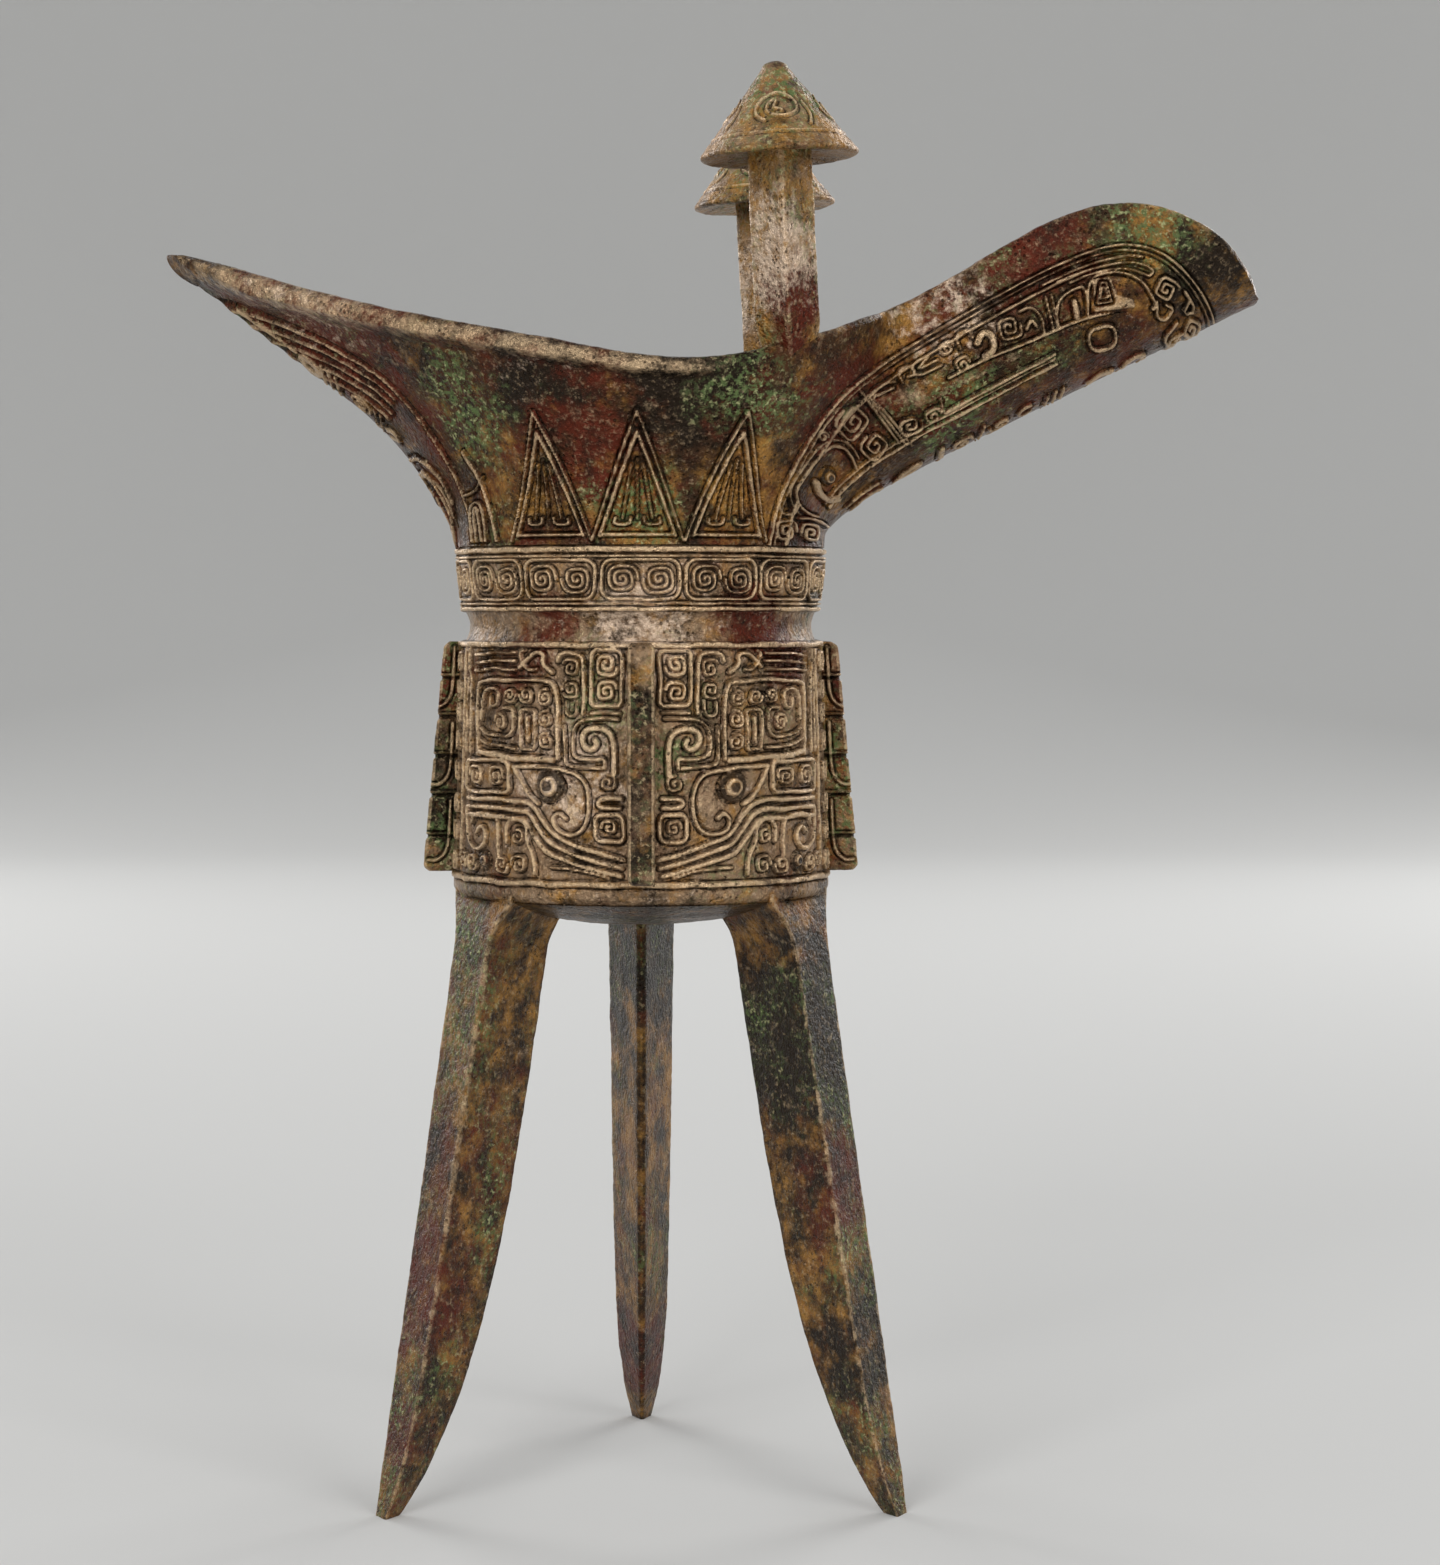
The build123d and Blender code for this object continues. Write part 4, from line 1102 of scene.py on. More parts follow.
def new_group(name, inputs, outputs):
    """A shader node group with named sockets, and its two ends."""
    group = bpy.data.node_groups.new(name, "ShaderNodeTree")
    for label, kind in inputs:
        group.interface.new_socket(name=label, in_out="INPUT", socket_type=kind)
    for label, kind in outputs:
        group.interface.new_socket(name=label, in_out="OUTPUT", socket_type=kind)
    return group, group.nodes.new("NodeGroupInput"), group.nodes.new("NodeGroupOutput")


def set_inputs(node, tree, values):
    """Sets sockets by name or place: a socket is linked, anything else is its value."""
    for key, value in values.items():
        if isinstance(value, bpy.types.NodeSocket):
            tree.links.new(value, node.inputs[key])
        else:
            node.inputs[key].default_value = value
    return node


def add_math(tree, operation, first, second=0.0, clamp=False):
    """A Math node and its result."""
    node = tree.nodes.new("ShaderNodeMath")
    node.operation = operation
    node.use_clamp = clamp
    return set_inputs(node, tree, {0: first, 1: second}).outputs[0]


def add_scaled(tree, value, factor, offset, clamp=False):
    """A value times a factor, plus an offset."""
    result = add_math(tree, "MULTIPLY_ADD", value, factor, clamp)
    set_inputs(result.node, tree, {2: offset})
    return result


def add_mix(tree, share, first, second):
    """A colour mix and its result."""
    node = tree.nodes.new("ShaderNodeMix")
    node.data_type = "RGBA"
    set_inputs(node, tree, {0: share, 6: first, 7: second})
    return node.outputs[2]


def add_noise(tree, position, scale, detail, roughness):
    """A noise texture's value."""
    node = tree.nodes.new("ShaderNodeTexNoise")
    set_inputs(node, tree, {"Vector": position, "Scale": scale, "Detail": detail, "Roughness": roughness})
    return node.outputs[0]


def add_step(tree, value, low, high):
    """A value spread smoothly from low..high to 0..1."""
    node = tree.nodes.new("ShaderNodeMapRange")
    node.interpolation_type = "SMOOTHSTEP"
    return set_inputs(node, tree, {0: value, 1: low, 2: high}).outputs[0]


def patch_group():
    """Ragged corrosion patches that cover a share of the surface."""
    group, given, made = new_group(
        "Corrosion patch",
        (("Position", "NodeSocketVector"), ("Shift", "NodeSocketVector"), ("Scale", "NodeSocketFloat"),
         ("Cover", "NodeSocketFloat"), ("Edge", "NodeSocketFloat")),
        (("Mask", "NodeSocketFloat"),),
    )
    moved = group.nodes.new("ShaderNodeVectorMath")
    set_inputs(moved, group, {0: given.outputs["Position"], 1: given.outputs["Shift"]})
    cloud = add_noise(group, moved.outputs[0], given.outputs["Scale"], *PATCH_DETAIL)
    level = add_scaled(group, given.outputs["Cover"], *PATCH_LEVEL)
    low = add_math(group, "SUBTRACT", level, given.outputs["Edge"])
    high = add_math(group, "ADD", level, given.outputs["Edge"])
    group.links.new(add_step(group, cloud, low, high), made.inputs["Mask"])
    return group


def spot_group():
    """A soft ragged spot about a centre, alike on the front and the back of the cup."""
    group, given, made = new_group(
        "Local spot",
        (("Position", "NodeSocketVector"), ("Centre", "NodeSocketVector"), ("Reach", "NodeSocketFloat")),
        (("Mask", "NodeSocketFloat"),),
    )
    parts = group.nodes.new("ShaderNodeSeparateXYZ")
    set_inputs(parts, group, {0: given.outputs["Position"]})
    folded = group.nodes.new("ShaderNodeCombineXYZ")
    set_inputs(folded, group, {0: parts.outputs[0], 1: add_math(group, "ABSOLUTE", parts.outputs[1]),
                               2: parts.outputs[2]})
    away = group.nodes.new("ShaderNodeVectorMath")
    away.operation = "DISTANCE"
    set_inputs(away, group, {0: folded.outputs[0], 1: given.outputs["Centre"]})
    share = add_math(group, "DIVIDE", away.outputs["Value"], given.outputs["Reach"])
    cloud = add_noise(group, given.outputs["Position"], *SPOT_NOISE)
    ragged = add_scaled(group, cloud, SPOT_RAGGEDNESS, share)
    group.links.new(add_step(group, ragged, *SPOT_FADE), made.inputs["Mask"])
    return group


def grit_group():
    """Fine pitting and crust: a height for bumps, the pits alone and scattered bright specks, which become
    green specks and painted glints.
    """
    group, given, made = new_group(
        "Pitted crust",
        (("Position", "NodeSocketVector"), ("Coarseness", "NodeSocketFloat")),
        (("Height", "NodeSocketFloat"), ("Pits", "NodeSocketFloat"), ("Grains", "NodeSocketFloat")),
    )
    fine = add_noise(group, given.outputs["Position"], given.outputs["Coarseness"], *GRAIN_DETAIL)
    slow = add_noise(group, given.outputs["Position"], *PIT_NOISE)
    pits = group.nodes.new("ShaderNodeTexVoronoi")
    set_inputs(pits, group, {"Vector": given.outputs["Position"], "Scale": given.outputs["Coarseness"],
                             "Randomness": 1.0})
    hole = add_step(group, pits.outputs["Distance"], *PIT_STEP)
    spread = add_step(group, slow, *PIT_SPREAD)
    deep = add_math(group, "MAXIMUM", hole, spread)
    height = add_scaled(group, deep, PIT_HEIGHT, add_math(group, "ADD", fine, slow))
    group.links.new(height, made.inputs["Height"])
    group.links.new(add_math(group, "SUBTRACT", 1.0, deep), made.inputs["Pits"])
    group.links.new(add_step(group, fine, *GRAIN_STEP), made.inputs["Grains"])
    return group


def wear_group():
    """Ridges rubbed bright and ground left dark, from the height that was cast into the skin."""
    group, given, made = new_group(
        "Relief wear",
        (("Position", "NodeSocketVector"),),
        (("Ridge", "NodeSocketFloat"), ("Ground", "NodeSocketFloat")),
    )
    height = group.nodes.new("ShaderNodeAttribute")
    height.attribute_name = "relief"
    broken = add_noise(group, given.outputs["Position"], *WEAR_NOISE)
    uneven = add_scaled(group, broken, *WEAR_UNEVENNESS)
    level = add_math(group, "ADD", height.outputs["Fac"], uneven)
    group.links.new(add_step(group, level, *RIDGE_STEP), made.inputs["Ridge"])
    group.links.new(add_step(group, level, *GROUND_STEP), made.inputs["Ground"])
    return group


def patina(name, colours, groups, covers, spots, skin="brown", wear=0.6, crust=0.85, painted_glint=0.34, metal=0.5):
    """Makes a bronze skin: metal, patches by cover and by spots, dark ground, rubbed ridges and painted
    glints on scattered bright specks.
    """
    material = bpy.data.materials.new(name)
    material.use_nodes = True
    tree = material.node_tree
    shader = tree.nodes["Principled BSDF"]
    position = tree.nodes.new("ShaderNodeTexCoord").outputs["Object"]

    def grouped(kind, values):
        node = tree.nodes.new("ShaderNodeGroup")
        node.node_tree = groups[kind]
        return set_inputs(node, tree, {"Position": position, **values})

    def cover(kind):
        total = covers.get(kind, 0.0)
        for spot_kind, centre, reach, gain in spots:
            if spot_kind == kind:
                place = tuple(value * MM for value in centre)
                spot = grouped("spot", {"Centre": place, "Reach": reach * MM})
                total = add_scaled(tree, spot.outputs["Mask"], gain, total)
        return total

    def patch(kind, share, edge):
        values = {"Shift": PATCH_SHIFTS[kind], "Scale": PATCH_SCALES[kind], "Cover": share, "Edge": edge}
        return grouped("patch", values).outputs["Mask"]

    grit = grouped("grit", {"Coarseness": GRAIN_SCALE})
    relief = grouped("wear", {})
    colour = add_mix(tree, patch("skin", SKIN_COVER, SKIN_EDGE), colours.dark, getattr(colours, skin))
    for kind in ("ochre", "red", "dark", "pale"):
        colour = add_mix(tree, patch(kind, cover(kind), PATCH_EDGE), colour, getattr(colours, kind))
    bloom = patch("green", cover("green"), BLOOM_EDGE)
    green = add_math(tree, "MULTIPLY", bloom, patch("speckle", SPECKLE_COVER, SPECKLE_EDGE))
    colour = add_mix(tree, green, colour, colours.green)
    specks = add_math(tree, "MULTIPLY", bloom, grit.outputs["Grains"])
    colour = add_mix(tree, specks, colour, colours.verdigris)
    ground = add_math(tree, "MULTIPLY", relief.outputs["Ground"], GROUND_DARKNESS)
    colour = add_mix(tree, ground, colour, colours.dark)
    ridge = add_math(tree, "MULTIPLY", relief.outputs["Ridge"], wear)
    colour = add_mix(tree, ridge, colour, colours.wear_and_highlight)
    pits = add_math(tree, "MULTIPLY", grit.outputs["Pits"], PIT_DARKNESS)
    colour = add_mix(tree, pits, colour, colours.dark)
    # Bright specks mixed towards the rubbed colour: painted glints
    painted_glints = add_math(tree, "MULTIPLY", grit.outputs["Grains"], painted_glint)
    colour = add_mix(tree, painted_glints, colour, colours.wear_and_highlight)
    tree.links.new(colour, shader.inputs["Base Color"])

    bare = add_scaled(tree, ridge, RIDGE_METAL, metal)
    tree.links.new(add_math(tree, "SUBTRACT", bare, green, True), shader.inputs["Metallic"])
    rough = add_scaled(tree, grit.outputs["Height"], GRIT_ROUGHNESS, ROUGHNESS)
    tree.links.new(add_scaled(tree, green, GREEN_ROUGHNESS, rough, True), shader.inputs["Roughness"])
    shader.inputs["Specular IOR Level"].default_value = SPECULAR
    bump = tree.nodes.new("ShaderNodeBump")
    set_inputs(bump, tree, {"Height": grit.outputs["Height"], "Strength": crust, "Distance": BUMP_DISTANCE})
    tree.links.new(bump.outputs["Normal"], shader.inputs["Normal"])


# Spots where a colour gathers, some of them painted highlights and shadow: colour, place, reach in
# millimetres and how much cover it adds
CUP_SPOTS = (
    ("red", (-44.0, 14.0, 166.0), 20.0, 0.5), ("red", (-12.0, 34.0, 158.0), 16.0, 0.35),
    ("red", (30.0, 20.0, 152.0), 14.0, 0.45), ("red", (54.0, 13.0, 177.0), 13.0, 0.5),
    # The dark spots 157 mm high under the middle of the rim, here and on the next line, are painted shadow
    # under the lip
    ("red", (-4.0, 30.0, 144.0), 12.0, 0.25), ("dark", (7.0, 34.0, 157.0), 14.0, 0.5),
    ("dark", (-16.0, 34.0, 157.0), 14.0, 0.3),
    ("green", (-28.0, 26.0, 151.0), 15.0, 0.6), ("green", (15.0, 33.0, 153.0), 12.0, 0.45),
    ("green", (46.0, 9.0, 154.0), 12.0, 0.45), ("green", (2.0, 30.0, 140.0), 9.0, 0.3),
    ("ochre", (-20.0, 24.0, 141.0), 12.0, 0.45), ("ochre", (-2.0, 29.0, 141.0), 12.0, 0.45),
    ("ochre", (16.0, 25.0, 141.0), 12.0, 0.45), ("ochre", (29.0, 12.0, 143.0), 10.0, 0.4),
    # The pale spots near the rim, here and on the next line, are painted highlights on the lip
    ("ochre", (38.0, 13.0, 163.0), 13.0, 0.45), ("pale", (42.0, 13.0, 168.0), 14.0, 0.4),
    ("pale", (-44.0, 14.0, 172.0), 18.0, 0.35), ("pale", (-16.0, 30.0, 163.0), 14.0, 0.2),
    ("ochre", (76.0, 10.0, 176.0), 16.0, 0.4), ("dark", (80.0, 12.0, 174.0), 12.0, 0.35),
    ("green", (70.0, 12.0, 180.0), 12.0, 0.35),
)
BELLY_SPOTS = (
    ("red", (-18.0, 20.0, 119.0), 9.0, 0.35), ("red", (20.0, 17.0, 119.0), 9.0, 0.45),
    ("red", (-12.0, 22.0, 123.6), 8.0, 0.5), ("red", (15.0, 20.0, 123.6), 8.0, 0.5),
    ("green", (4.0, 27.0, 104.0), 8.0, 0.35), ("green", (-6.0, 27.0, 115.0), 8.0, 0.3),
    # Both pale spots, on the drum's middle and on the waist, are painted highlights
    ("pale", (-10.0, 24.0, 104.0), 16.0, 0.3), ("pale", (0.0, 25.0, 123.6), 12.0, 0.35),
)
LEG_SPOTS = (
    ("green", (-27.0, 14.0, 74.0), 16.0, 0.3), ("red", (-34.0, 18.0, 32.0), 16.0, 0.4),
    ("dark", (24.0, 10.0, 66.0), 22.0, 0.5), ("green", (31.0, 14.0, 34.0), 12.0, 0.35),
    ("red", (28.0, 16.0, 46.0), 9.0, 0.45), ("red", (-26.0, 12.0, 50.0), 12.0, 0.3),
    ("red", (-39.0, 21.0, 12.0), 13.0, 0.4), ("red", (0.0, 38.0, 12.0), 14.0, 0.45),
    ("dark", (0.0, 28.0, 74.0), 18.0, 0.35), ("ochre", (0.0, 33.0, 48.0), 16.0, 0.4),
    ("green", (-38.0, 20.0, 26.0), 9.0, 0.35), ("dark", (33.0, 18.0, 24.0), 14.0, 0.3),
)
FLANGE_SPOTS = (
    ("dark", (0.0, 32.0, 103.0), 30.0, 0.25), ("red", (-31.0, 0.0, 117.0), 9.0, 0.5),
    ("red", (31.0, 0.0, 117.0), 10.0, 0.5), ("green", (32.0, 0.0, 104.0), 10.0, 0.4),
    ("dark", (-32.0, 0.0, 100.0), 16.0, 0.5),
)
CAP_SPOTS = (
    ("pale", (16.8, 33.0, 174.0), 14.0, 0.6), ("red", (23.0, 31.0, 168.0), 9.0, 0.55),
    ("red", (21.0, 31.0, 161.0), 6.0, 0.5), ("green", (18.0, 34.0, 192.0), 12.0, 0.3),
)


def make_finishes(colours):
    """Every patina of the cup."""
    groups = {"patch": patch_group(), "spot": spot_group(), "grit": grit_group(), "wear": wear_group()}
    covers = {"red": 0.4, "ochre": 0.26, "dark": 0.38, "green": 0.26}
    patina("Cup bronze", colours, groups, covers, CUP_SPOTS, painted_glint=0.2)
    covers = {"red": 0.22, "ochre": 0.3, "dark": 0.28, "pale": 0.17, "green": 0.24}
    patina("Belly bronze", colours, groups, covers, BELLY_SPOTS, skin="bronze", wear=0.72)
    covers = {"red": 0.36, "ochre": 0.5, "dark": 0.44, "green": 0.34}
    patina("Leg bronze", colours, groups, covers, LEG_SPOTS, crust=0.9, painted_glint=0.24, metal=0.2)
    covers = {"red": 0.22, "ochre": 0.5, "dark": 0.26, "green": 0.36}
    patina("Cap bronze", colours, groups, covers, CAP_SPOTS, skin="bronze")
    covers = {"red": 0.4, "ochre": 0.4, "dark": 0.3, "green": 0.4}
    patina("Flange bronze", colours, groups, covers, FLANGE_SPOTS, skin="bronze", wear=0.5)


def finish_named(name):
    """A patina that the finishes operator made."""
    return bpy.data.materials[name]


class JUE_OT_finishes(bpy.types.Operator):
    """Mix the patinas of the cup"""

    bl_idname = "jue.finishes"
    bl_label = "Patinas"

    def execute(self, context):
        make_finishes(context.scene.jue_patina)
        return {"FINISHED"}


def round_skin(radius, angle, z):
    """Points about the cup's axis from radii, angles and heights."""
    return np.stack([radius * np.cos(angle), radius * np.sin(angle), z], axis=2)


def lay_halves(node, outer, inner, wear_and_highlight, lip, material):
    """The front half of a wall and its mirror image at the back, each a piece of its own."""
    finish_piece(shell(node + "_front", outer, inner, wear_and_highlight, lip), material, node)
    back, worn_back, lip_back = mirrored(outer, wear_and_highlight, lip)
    finish_piece(shell(node + "_back", back, mirrored(inner)[0], worn_back, lip_back), material, node)


class JUE_OT_belly(bpy.types.Operator):
    """Lay the drum with its masks, in a front and a back half, and its domed base darkened as painted shade
    """

    bl_idname = "jue.belly"
    bl_label = "Belly"

    def execute(self, context):
        height = context.scene.jue_casting.belly_relief / MM
        angle = np.linspace(-math.pi, 0.0, BELLY_COLUMNS)
        z = np.linspace(CUP_EDGE_Z, BELLY_TOP_Z, BELLY_ROWS)
        angle, z = np.meshgrid(angle, z)
        arc = (angle + math.pi / 2) * (BELLY_BOTTOM_RADIUS + BELLY_TOP_RADIUS) / 2
        shake, lift = hand_drawn(arc, z)
        relief = Relief(np.abs(arc) + shake, z - CUP_EDGE_Z + lift, GROUND)
        strip = [(-1.0, -1.0), (MASK_REACH, -1.0), (MASK_REACH, MASK_FOOT), (-1.0, MASK_FOOT)]
        relief.fill_area(strip, PLAIN)
        draw_mask(relief)
        edge = np.maximum(0.0, 1 - (z - CUP_EDGE_Z) / BELLY_EDGE_RISE)
        radius = drum_radius(z) - BELLY_EDGE_DEPTH * edge**2 + (relief.surface() - PLAIN) * height
        outer = round_skin(radius, angle, z)
        outer[:, [0, -1], 1] = 0.0
        inner_z = np.linspace(BELLY_TOP_Z, CUP_EDGE_Z + BELLY_INNER_LIFT, INNER_ROWS)
        inner_angle, inner_z = np.meshgrid(angle[0], inner_z)
        inner = round_skin(drum_radius(inner_z) - BELLY_WALL, inner_angle, inner_z)
        inner[:, [0, -1], 1] = 0.0
        lip = np.zeros(BELLY_COLUMNS)
        lay_halves("belly", outer, inner, relief.wear(), lip, finish_named("Belly bronze"))

        reach = EDGE_RADIUS - BASE_INSET
        out = np.linspace(0.0, reach, BASE_ROWS)
        dome = CUP_EDGE_Z - BASE_SAG * (1 - (out / reach) ** 2)
        lap = CUP_BORE + BASE_LAP
        profile = [(lap, CUP_EDGE_Z + BASE_LAP_LIFT), (lap, FLOOR_Z), (0.0, FLOOR_Z)]
        base = np.vstack([np.column_stack([out, dome]), profile])
        # The base is set to groove level, so its colour turns dark as painted shade
        shade = np.full((len(base), BASE_COLUMNS + 1), UNDERSIDE_PAINTED_SHADE)
        finish_piece(revolve("belly_base", base, BASE_COLUMNS, shade), finish_named("Leg bronze"), "belly")
        return {"FINISHED"}


def revolve(name, profile, columns, relief=None, place=None):
    """A turned piece from a profile of radius and height, run from its lower pole to its upper one."""
    angle = np.linspace(0.0, 2 * math.pi, columns + 1)
    points = round_skin(profile[:, 0, None], angle, np.repeat(profile[:, 1, None], columns + 1, axis=1))
    if place is not None:
        points = place(points)
    wear_and_highlight = np.full(points.shape[:2], PLAIN) if relief is None else relief
    return lay_grid(name, points, wear_and_highlight)


class JUE_OT_rings(bpy.types.Operator):
    """Lay the plain waist collar and the neck band with its spiral pairs"""

    bl_idname = "jue.rings"
    bl_label = "Waist and neck band"

    def execute(self, context):
        skin = finish_named("Belly bronze")
        z = np.linspace(BELLY_TOP_Z - WAIST_LAP, WAIST_TOP_Z + WAIST_LAP, WAIST_ROWS)
        middle = (BELLY_TOP_Z + WAIST_TOP_Z) / 2
        swell = WAIST_SWELL * ((z - middle) / (WAIST_TOP_Z - middle)) ** 2
        outside = np.column_stack([WAIST_RADIUS + swell, z])
        inside = np.array([(CUP_BORE, z[-1]), (CUP_BORE, z[0])])
        profile = np.vstack([outside, inside, outside[:1]])
        finish_piece(revolve("waist_collar", profile, WAIST_COLUMNS), skin, "waist_collar")

        height = context.scene.jue_casting.band_relief / MM
        angle = np.linspace(-math.pi, math.pi, BAND_COLUMNS + 1)
        z = np.linspace(WAIST_TOP_Z, NECK_Z, BAND_ROWS)
        angle, z = np.meshgrid(angle, z)
        share = (z - WAIST_TOP_Z) / (NECK_Z - WAIST_TOP_Z)
        plain = BAND_BOTTOM_RADIUS + (NECK_RADIUS - BAND_BOTTOM_RADIUS) * share
        pitch = 2 * math.pi / BAND_PAIRS
        turn = (angle + math.pi / 2 + pitch / 2) % pitch - pitch / 2
        shake, lift = hand_drawn(angle * NECK_RADIUS, z)
        around = turn * (BAND_BOTTOM_RADIUS + NECK_RADIUS) / 2 + shake
        relief = Relief(around, z - WAIST_TOP_Z + lift / 2, GROUND)
        draw_spiral_pair(relief, 0.0)
        for level, width in BAND_LINES:
            relief.raise_line([(-BAND_LINE_REACH, level), (BAND_LINE_REACH, level)], width)
        cast = relief.surface()
        outer = round_skin(plain + (cast - PLAIN) * height, angle, z)
        inner_z = np.linspace(NECK_Z, WAIST_TOP_Z, BAND_INNER_ROWS)
        inner_angle, inner_z = np.meshgrid(angle[0], inner_z)
        inner = round_skin(CUP_BORE, inner_angle, inner_z)
        piece = shell("neck_band", outer, inner, cast, np.zeros(BAND_COLUMNS + 1))
        finish_piece(piece, skin, "neck_band")
        return {"FINISHED"}


def mouth_edge(inset, lip):
    """The mouth's upper edge from the tail's keel to the spout's, as angles from the spout and rises."""
    tail_top = rim_rise(TAIL_JOINT_X) - lip
    tail_low = keel_rise(np.array([TAIL_JOINT_X]), tail_reach, inset)[0]
    tail_rise = tail_low + (tail_top - tail_low) * np.linspace(0.0, 1.0, JOINT_POINTS) ** 2
    tail_angle = np.arctan2(tail_half(TAIL_JOINT_X, tail_rise, inset), TAIL_JOINT_X)
    spout_top = rim_rise(SPOUT_JOINT_X) - lip
    spout_low = keel_rise(np.array([SPOUT_JOINT_X]), spout_reach, inset)[0]
    spout_rise = spout_low + (spout_top - spout_low) * np.linspace(1.0, 0.0, JOINT_POINTS) ** 2
    spout_angle = np.arctan2(spout_half(SPOUT_JOINT_X, spout_rise, inset), SPOUT_JOINT_X)
    rim_angle = np.linspace(tail_angle[-1], spout_angle[0], EDGE_POINTS)

    def inside(rise):
        x = mouth_radius(rim_angle, rise, inset) * np.cos(rim_angle)
        return rise < rim_rise(x) - lip

    rim = halved(inside, np.zeros_like(rim_angle), np.full_like(rim_angle, HIGHEST_RISE))
    angles = (tail_angle, rim_angle, spout_angle)
    rises = (tail_rise, rim, spout_rise)
    spans = []
    for angle, rise, count in zip(angles, rises, MOUTH_SPANS):
        radius = mouth_radius(angle, rise, inset)
        path = np.stack([radius * np.cos(angle), radius * np.sin(angle), rise])
        steps = np.linalg.norm(np.diff(path, axis=1), axis=0)
        length = np.concatenate([[0.0], np.cumsum(steps)])
        even = np.linspace(0.0, length[-1], count + 1)
        spans.append((np.interp(even, length, angle), np.interp(even, length, rise)))
    return spans


def mouth_skin(inset, rows, lip):
    """The front half of the mouth's skin from the neck to its edge, and the angle and rise at each point."""
    spans = mouth_edge(inset, lip)
    edge_angle = np.concatenate([span[0][(1 if i else 0):] for i, span in enumerate(spans)])
    edge_rise = np.concatenate([span[1][(1 if i else 0):] for i, span in enumerate(spans)])
    stops = np.cumsum((0, *MOUTH_SPANS))
    neck_angle = np.interp(np.arange(stops[-1] + 1), stops, np.radians(NECK_STOPS))
    share = np.linspace(0.0, 1.0, rows)[:, None]
    rise = share * edge_rise
    angle = neck_angle + (edge_angle - neck_angle) * share
    radius = mouth_radius(angle, rise, inset)
    points = np.stack([radius * np.cos(angle), -radius * np.sin(angle), NECK_Z + rise], axis=2)
    return points, angle, rise


def raise_skin(points, relief, height):
    """The skin with its relief raised along its normals, and fading at the keel."""
    ease = smooth(KEEL_RELIEF + np.abs(points[:, :, 1]) / KEEL_EASE)
    return points + skin_normals(points) * ((relief - PLAIN) * height * ease)[:, :, None]


def cast_skin(points, relief, height):
    """The skin with its relief, the band under the rim and the tail's sag, and how bright it is rubbed, with
    the painted highlight on that band.
    """
    banded, wear_and_highlight = rim_banded(raise_skin(points, relief.surface(), height), relief.wear())
    return sagged(banded), wear_and_highlight


class JUE_OT_mouth(bpy.types.Operator):
    """Lay the flaring mouth with its blades, in a front and a back half"""

    bl_idname = "jue.mouth"
    bl_label = "Mouth"

    def execute(self, context):
        casting = context.scene.jue_casting
        lip_height = casting.lip_height / MM
        outer, angle, rise = mouth_skin(0.0, MOUTH_ROWS, lip_height)
        inner = mouth_skin(MOUTH_WALL, INNER_ROWS, lip_height)[0][::-1]
        relief = Relief((math.pi / 2 - angle) * NECK_RADIUS, rise, PLAIN)
        for blade_angle in BLADE_ANGLES:
            draw_blade(relief, math.radians(blade_angle) * NECK_RADIUS, BLADE_HALF, BLADE_RISE)
        draw_spout_field(relief.along(outer[:, :, 0], rise))
        draw_underside(relief.along(outer[:, :, 0], -outer[:, :, 1]))
        draw_tail_field(relief.along(-outer[:, :, 0], rise))
        draw_tail_underside(relief.along(-outer[:, :, 0], -outer[:, :, 1]))
        outer, wear_and_highlight = cast_skin(outer, relief, casting.mouth_relief / MM)
        outer[:, [0, -1], 1] = 0.0
        inner[:, [0, -1], 1] = 0.0
        lip = np.zeros(sum(MOUTH_SPANS) + 1)
        lip[MOUTH_SPANS[0] : MOUTH_SPANS[0] + MOUTH_SPANS[1] + 1] = lip_height
        lay_halves("mouth", outer, inner, wear_and_highlight, lip, finish_named("Cup bronze"))
        return {"FINISHED"}


def spout_half(x, rise, inset):
    """Half width of the spout, fillet and all, at a place along it and a rise above the neck."""
    x, rise = np.broadcast_arrays(np.asarray(x, float), np.asarray(rise, float))

    def inside(angle):
        return root_radius(angle, rise, inset) * np.cos(angle) > x

    return x * np.tan(halved(inside, np.zeros(x.shape), np.full(x.shape, WIDEST_TURN)))


def tail_half(x, rise, inset):
    """Half width of the tail at a place along it and a rise above the neck."""
    pinch = (1 + (TAIL_POINT - 1) * smooth(rise / FLARE_EASE)) / 2
    return side_reach(rise, inset) * np.maximum(0.0, 1 - (x / tail_reach(rise, inset)) ** 2) ** pinch


def keel_rise(x, reach, inset):
    """The rise at which a keel passes a place along it."""

    def inside(rise):
        return reach(rise, inset) < np.abs(x)

    return halved(inside, np.zeros_like(x), np.full_like(x, HIGHEST_RISE))


def tip_place(joint_x, reach, inset):
    """Where the keel meets the rim, at the end of a trough."""
    sign = np.sign(joint_x)
    far = np.array([abs(joint_x)])

    def inside(out):
        return keel_rise(sign * out, reach, inset) < rim_rise(sign * out)

    end = RIM_X[0] if sign < 0 else RIM_X[-1]
    return sign * halved(inside, far, np.full_like(far, abs(end)))[0]


